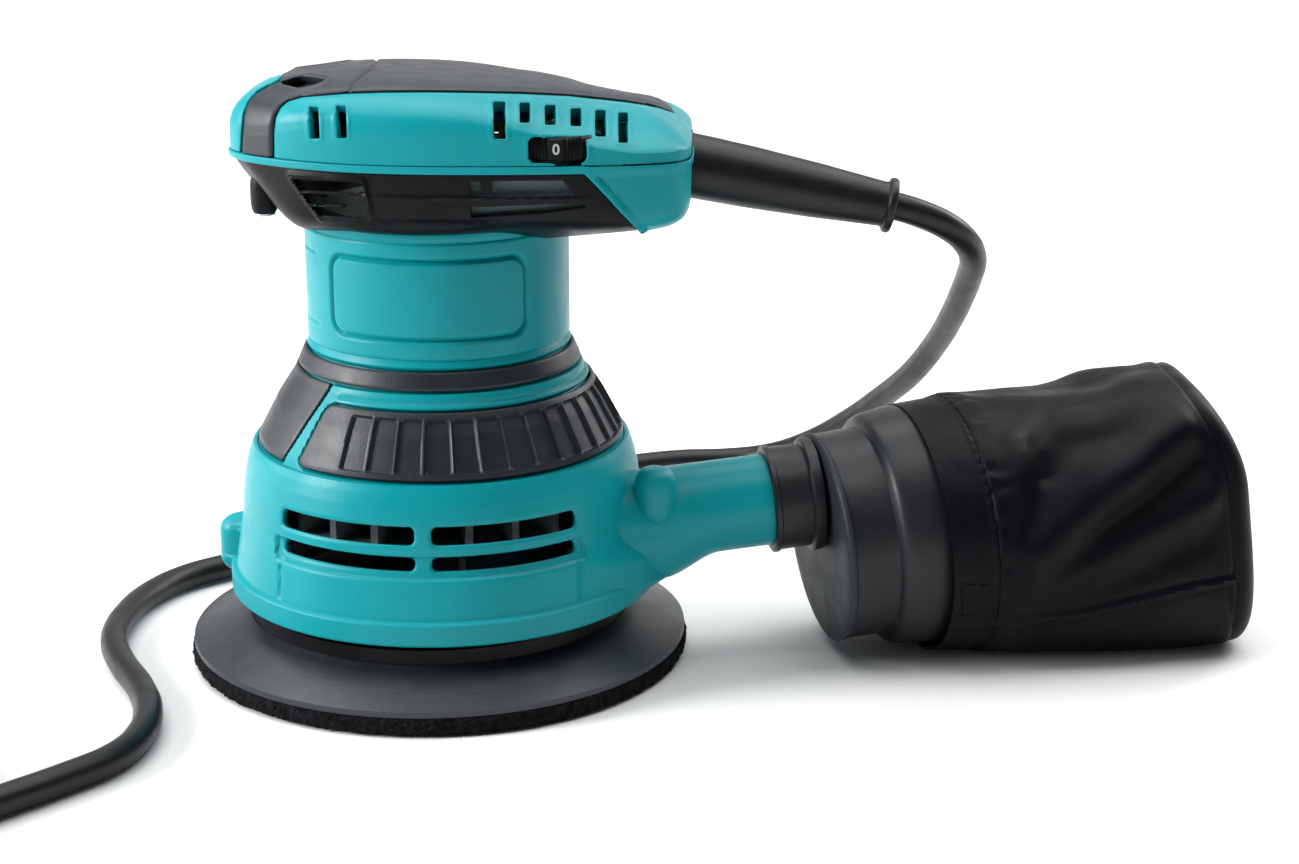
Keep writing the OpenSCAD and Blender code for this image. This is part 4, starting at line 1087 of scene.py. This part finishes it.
def axis_place(at, way):
    """The matrix that stands +Z along way at a point."""
    return Matrix.Translation(at) @ Vector(way).to_track_quat("Z", "Y").to_matrix().to_4x4()


droop = math.radians(GUARD_DROOP)
guard_place = axis_place(GUARD_AT, (math.cos(droop), 0, -math.sin(droop)))
solid_of_revolution("cord_guard_sleeve", [*finely(GUARD, 1.2), (3.6, -4)], guard_place, "cord_rubber",
                    "housing", ["cord_guard"], crease=50)

# ---------- speed dial

DIAL_AT = (31.5, -27.3, 134)
DIAL_R = 10
DIAL_HALF = 2.75


def build_dial():
    outline = [(3, -DIAL_HALF), (DIAL_R - 0.5, -DIAL_HALF), (DIAL_R, -DIAL_HALF + 0.5),
               (DIAL_R, DIAL_HALF - 0.5), (DIAL_R - 0.5, DIAL_HALF), (3, DIAL_HALF)]

    def ripple(angle, r, z):
        if r < 9:
            return 1
        place = (math.degrees(angle) + 90 + 22.5) % 45 - 22.5
        return 1 - 0.045 * (0.5 - 0.5 * math.cos(math.radians(8 * place * 9))) * (abs(place) > 10)

    solid_of_revolution("dial_wheel", outline, Matrix.Translation(DIAL_AT), "black_plastic", "dial",
                        ["speed_dial"], sides=360, ripple=ripple)
    for k in range(6):
        curve = bpy.data.curves.new(f"dial_figure_{k}", "FONT")
        curve.body = str(k)
        curve.size = 3.4 * MM
        curve.extrude = 0.12 * MM
        curve.offset = 0.08 * MM
        curve.align_x = "CENTER"
        curve.align_y = "CENTER"
        figure = bpy.data.objects.new(f"dial_figure_{k}", curve)
        bpy.context.scene.collection.objects.link(figure)
        turn = Matrix.Rotation(math.radians(45 * k), 4, "Z")
        stand = Matrix.Translation((0, -(DIAL_R + 0.05) * MM, 0)) @ Matrix.Rotation(math.radians(90), 4, "X")
        figure.matrix_world = Matrix.Translation(Vector(DIAL_AT) * MM) @ turn @ stand
        wear(figure, "marking")
        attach(figure, "dial")


build_dial()

# ---------- dust bag

DRUM_S = 43.8
DRUM_DROP = 12
DRUM_YAW = 5
CONE_R = 30.5
COLLAR = [(SPOUT_R + 0.15, 31.2), (13.1, 31.2), (13.5, 31.5), (13.5, 32.6), (13.1, 32.9), (12.9, 40.6),
          (13.9, 40.8), (14.3, 41.2), (14.3, 42.4), (14.0, 43.7), (SPOUT_R + 0.15, 43.7)]
DISC = [(0.05, 0), (25.6, 0), (26.3, 0.25), (26.7, 0.7), (26.7, 1.5), (26.2, 1.9), (0.05, 1.9)]
DRUM = [(23.5, 1.9), (26.1, 2), (26.2, 2.6), (26.4, 12.3), (26.55, 12.8), (27, 13), (28.2, 13.5),
        (29, 14.3), (29.5, 15.6), (29.9, 18), (CONE_R, 23), (CONE_R, 30), (29, 30), (28, 20), (24, 13),
        (23.5, 12)]


def build_drum():
    way, side, top = spout_frame()
    at = np.array(SPOUT_AT)
    collar_place = axis_place(at, way)
    # The collar ring and drum shell wear the black plastic lightened with painted light.
    solid_of_revolution("bag_collar_ring", finely(COLLAR, 2), collar_place, "drum_plastic", "dust_bag",
                        ["bag_collar"])
    yaw = Matrix.Rotation(math.radians(DRUM_YAW), 3, "Z")
    turned_way = np.array(yaw @ Vector(way))
    centre = at + way * DRUM_S - top * DRUM_DROP
    place = axis_place(centre, turned_way)
    # The disc plate's face is painted lighter grey, as painted light from the key lamp.
    solid_of_revolution("bag_disc_plate", finely(DISC, 3), place, "drum_face", "dust_bag", ["bag_disc"],
                        sides=128)
    solid_of_revolution("bag_drum_shell", finely(DRUM, 2), place, "drum_plastic", "dust_bag", ["bag_drum"],
                        sides=128)


build_drum()

BAG_RINGS = 190
BAG_ROUND_RINGS = 12
BAG_END_RINGS = 34
BAG_COUNT = 420
BAG_END_R = 6
BAG_END_HALF = 26.0
BAG_END_CROWN = 2.4
BAG_CORNER = 9
BAG_FLOOR = 0.35
# Down the bag from its mouth (0) to its end (1): x where it lies, x at its top, top height, bottom height,
# middle in y, half width, squareness, turn about Z
BAG_STATIONS = [
    (0.0, 121.4, 116.1, 62.4, 0.2, 2.6, 31.3, 2.0, 14.5),
    (0.12, 130.5, 126, 63.6, -0.2, 4.4, 31.5, 2.05, 14),
    (0.3, 145, 140, 63.6, -0.8, 7, 31.6, 2.2, 12),
    (0.5, 161, 154, 64.4, -1, 9.8, 31, 2.5, 10),
    (0.7, 177, 168, 66.2, -1, 12, 30, 2.8, 8),
    (0.86, 189, 180.5, 68.4, -0.6, 13.4, 28.6, 3, 6),
    (1.0, 199.4, 190.4, 69, 0.2, 14.2, 27.2, 3.1, 4),
]


def bag_ring(values, count):
    low_x, top_x, top_z, low_z, mid_y, half, square, turn = values
    t = np.linspace(-math.pi / 2, 1.5 * math.pi, count, endpoint=False)
    c, s = np.cos(t), np.sin(t)
    y = half * np.sign(c) * np.abs(c) ** (2 / square)
    z = (top_z + low_z) / 2 + (top_z - low_z) / 2 * np.sign(s) * np.abs(s) ** (2 / square)
    x = low_x + (top_x - low_x) * (z - low_z) / (top_z - low_z) - y * math.tan(math.radians(turn))
    x -= BAG_CORNER * smoothstep((low_x - 165) / 34) * np.clip((z - 46) / 26, 0, 1) ** 2
    return np.column_stack([x, y + mid_y, z])


def bag_surface():
    """The outside of the bag as rings from its mouth to the middle of its end."""
    table = np.array(BAG_STATIONS)
    smooth = spline_through(table, 400)
    rings = []
    for t in np.linspace(0, 1, BAG_RINGS):
        values = [np.interp(t, smooth[:, 0], smooth[:, k]) for k in range(1, 9)]
        rings.append(bag_ring(values, BAG_COUNT))
    last = rings[-1]
    middle = last.mean(0)
    lean = math.atan2(table[-1, 1] - table[-1, 2], table[-1, 3] - table[-1, 4])
    ahead = np.array([math.cos(lean), 0.07, math.sin(lean)])
    for angle in np.linspace(8, 90, BAG_ROUND_RINGS):
        a = math.radians(angle)
        rings.append(middle + (last - middle) * (1 - BAG_END_R * (1 - math.cos(a)) / BAG_END_HALF)
                     + ahead * BAG_END_R * math.sin(a))
    flat = rings[-1]
    middle = flat.mean(0)
    for share in np.linspace(0.97, 0.004, BAG_END_RINGS):
        rings.append(middle + (flat - middle) * share + ahead * BAG_END_CROWN * (1 - share ** 2))
    grid = np.array(rings)
    grid[..., 2] = np.maximum(grid[..., 2], BAG_FLOOR)
    # Rows run round the bag and columns from its mouth to its end, so that outside is out
    return sheet_of(grid.transpose(1, 0, 2)[::-1], closed=True)


def path_field(x, z, path):
    """Distance from a path of points."""
    best = np.full(x.shape, 1e9)
    for a, b in zip(path, path[1:]):
        dx, dz = b[0] - a[0], b[1] - a[1]
        t = np.clip(((x - a[0]) * dx + (z - a[1]) * dz) / (dx * dx + dz * dz), 0, 1)
        best = np.minimum(best, np.hypot(x - a[0] - t * dx, z - a[1] - t * dz))
    return best


# Folds on the near side, seen on the plane y = -20: a line, its height and its half width
FOLDS = [([(167.5, 65.2), (154.5, 59.6), (148.9, 51.2), (144.7, 39.9)], 1.8, 5.5),
         ([(187, 70.8), (173.2, 58.3), (155.5, 38.5), (140, 24.2)], -2.6, 6.5),
         ([(189.1, 59.7), (176.4, 48.5), (161.1, 34.3), (150.7, 25.7)], 2.3, 5.0),
         ([(195, 50), (179.6, 40.1), (162.7, 30), (150.9, 22.8)], -1.8, 5.0),
         ([(148.9, 66.5), (146.5, 59.5), (149.5, 52.6)], 0.8, 2.6),
         ([(196, 42), (183, 33), (166, 24), (150, 17)], 1.4, 5.0),
         ([(141, 60), (143, 50), (141, 36)], -0.9, 3.2)]
TAB = [(128.7, 25.5), (137.8, 24.9), (138.7, 17.7), (129.3, 15.8)]
HEM_WIDTH = 12.0
STITCH = 2.6
BAG_R = 31
BASE_SEAM = [(128, 12.2), (139, 12.8), (157, 14.2), (170.4, 18), (183.8, 21.8), (196.5, 24.4), (199, 11),
             (199, -5)]


def bag_shape(p, along_mouth, end_share):
    """How far the cloth stands out from its smooth form: folds, puckers, seams and stitches."""
    near = smoothstep((10 - p[:, 1]) / 14) * smoothstep((69 - p[:, 2]) / 12)
    bent = rough(p, 22, 5) * 2.5
    x, z = seen(p, 20)
    x, z = x + bent, z + rough(p, 20, 6) * 2.5
    free = smoothstep((along_mouth - HEM_WIDTH) / 9) * (1 - smoothstep((end_share - 0.9) / 0.1))
    amount = np.zeros(len(p))
    for path, height, width in FOLDS:
        amount += height * np.exp(-(path_field(x, z, path) / width) ** 2) * near * free
    # The far side has its own softer folds
    far = smoothstep((p[:, 1] - 4) / 14)
    amount += far * free * 2.2 * rough(p * (1, 1, 0.6), 17, 9)
    amount += free * (0.5 * rough(p, 15, 3) + 0.1 * rough(p, 5, 4))
    round_at = np.arctan2(p[:, 2] - 31, p[:, 1] - 5)
    past = along_mouth - HEM_WIDTH
    puckers = np.sin(round_at * 24 + rough(p, 9, 7) * 9) * np.exp(-(np.maximum(past, 0) / 4.5) ** 2)
    amount += 0.24 * puckers * smoothstep((past + 1.5) / 2)
    band = smoothstep(1 - (along_mouth - 2) / HEM_WIDTH) * smoothstep((along_mouth - 2) / 4)
    amount += 0.25 * rough(p, 6, 8) * band
    # Hem: a doubled band with a stitched step
    amount += 0.75 * smoothstep(-past / 0.7)
    beads = 0.2 * (np.sin(round_at * BAG_R * 2 * math.pi / STITCH) > 0)
    amount += groove(past + 1.4, 0.55, 0.5) + beads * np.exp(-((past + 1.4) / 0.4) ** 2)
    # The tab's patch, sewn on the hem, and the seam of the base panel
    tab = np.maximum(polygon_field(*seen(p, 24), TAB), p[:, 1])
    amount += 0.4 * smoothstep(0.5 - tab / 0.6) + groove(tab + 0.9, 0.3, 0.25)
    off = path_field(*seen(p, 18), BASE_SEAM)
    front = (p[:, 1] < 6) * (end_share < 0.999)
    amount += front * (groove(off, 0.7, 0.6) + 0.35 * np.exp(-((off - 1.5) / 0.8) ** 2))
    return amount


def build_bag():
    points, faces, up = bag_surface()
    rows = BAG_RINGS + BAG_ROUND_RINGS + BAG_END_RINGS
    grid = points.reshape(-1, rows, 3)
    steps = np.linalg.norm(np.diff(grid, axis=1), axis=2)
    gone = np.concatenate([np.zeros((len(grid), 1)), np.cumsum(steps, axis=1)], axis=1).ravel()
    end_share = np.tile(np.arange(rows) / (BAG_RINGS - 1), len(grid))
    amount = bag_shape(points, gone, np.minimum(end_share, 1))
    bead = np.exp(-((end_share - 1) * (BAG_RINGS - 1) / 1.8) ** 2)
    amount = amount + 0.6 * bead
    amount += 0.8 * rough(points, 13, 12) * smoothstep((end_share - 1.06) / 0.08)
    rest = smoothstep((points[:, 2] - BAG_FLOOR) / 2.5)
    points = points + up * (amount * rest)[:, None]
    points[:, 2] = np.maximum(points[:, 2], BAG_FLOOR)
    surface = points, faces, normals(points, faces)
    return shell("bag_sewn_cloth", surface, None, 0.7, "bag_cloth", "dust_bag", ["bag_fabric", "bag_tab"], 0.25)


bag = build_bag()
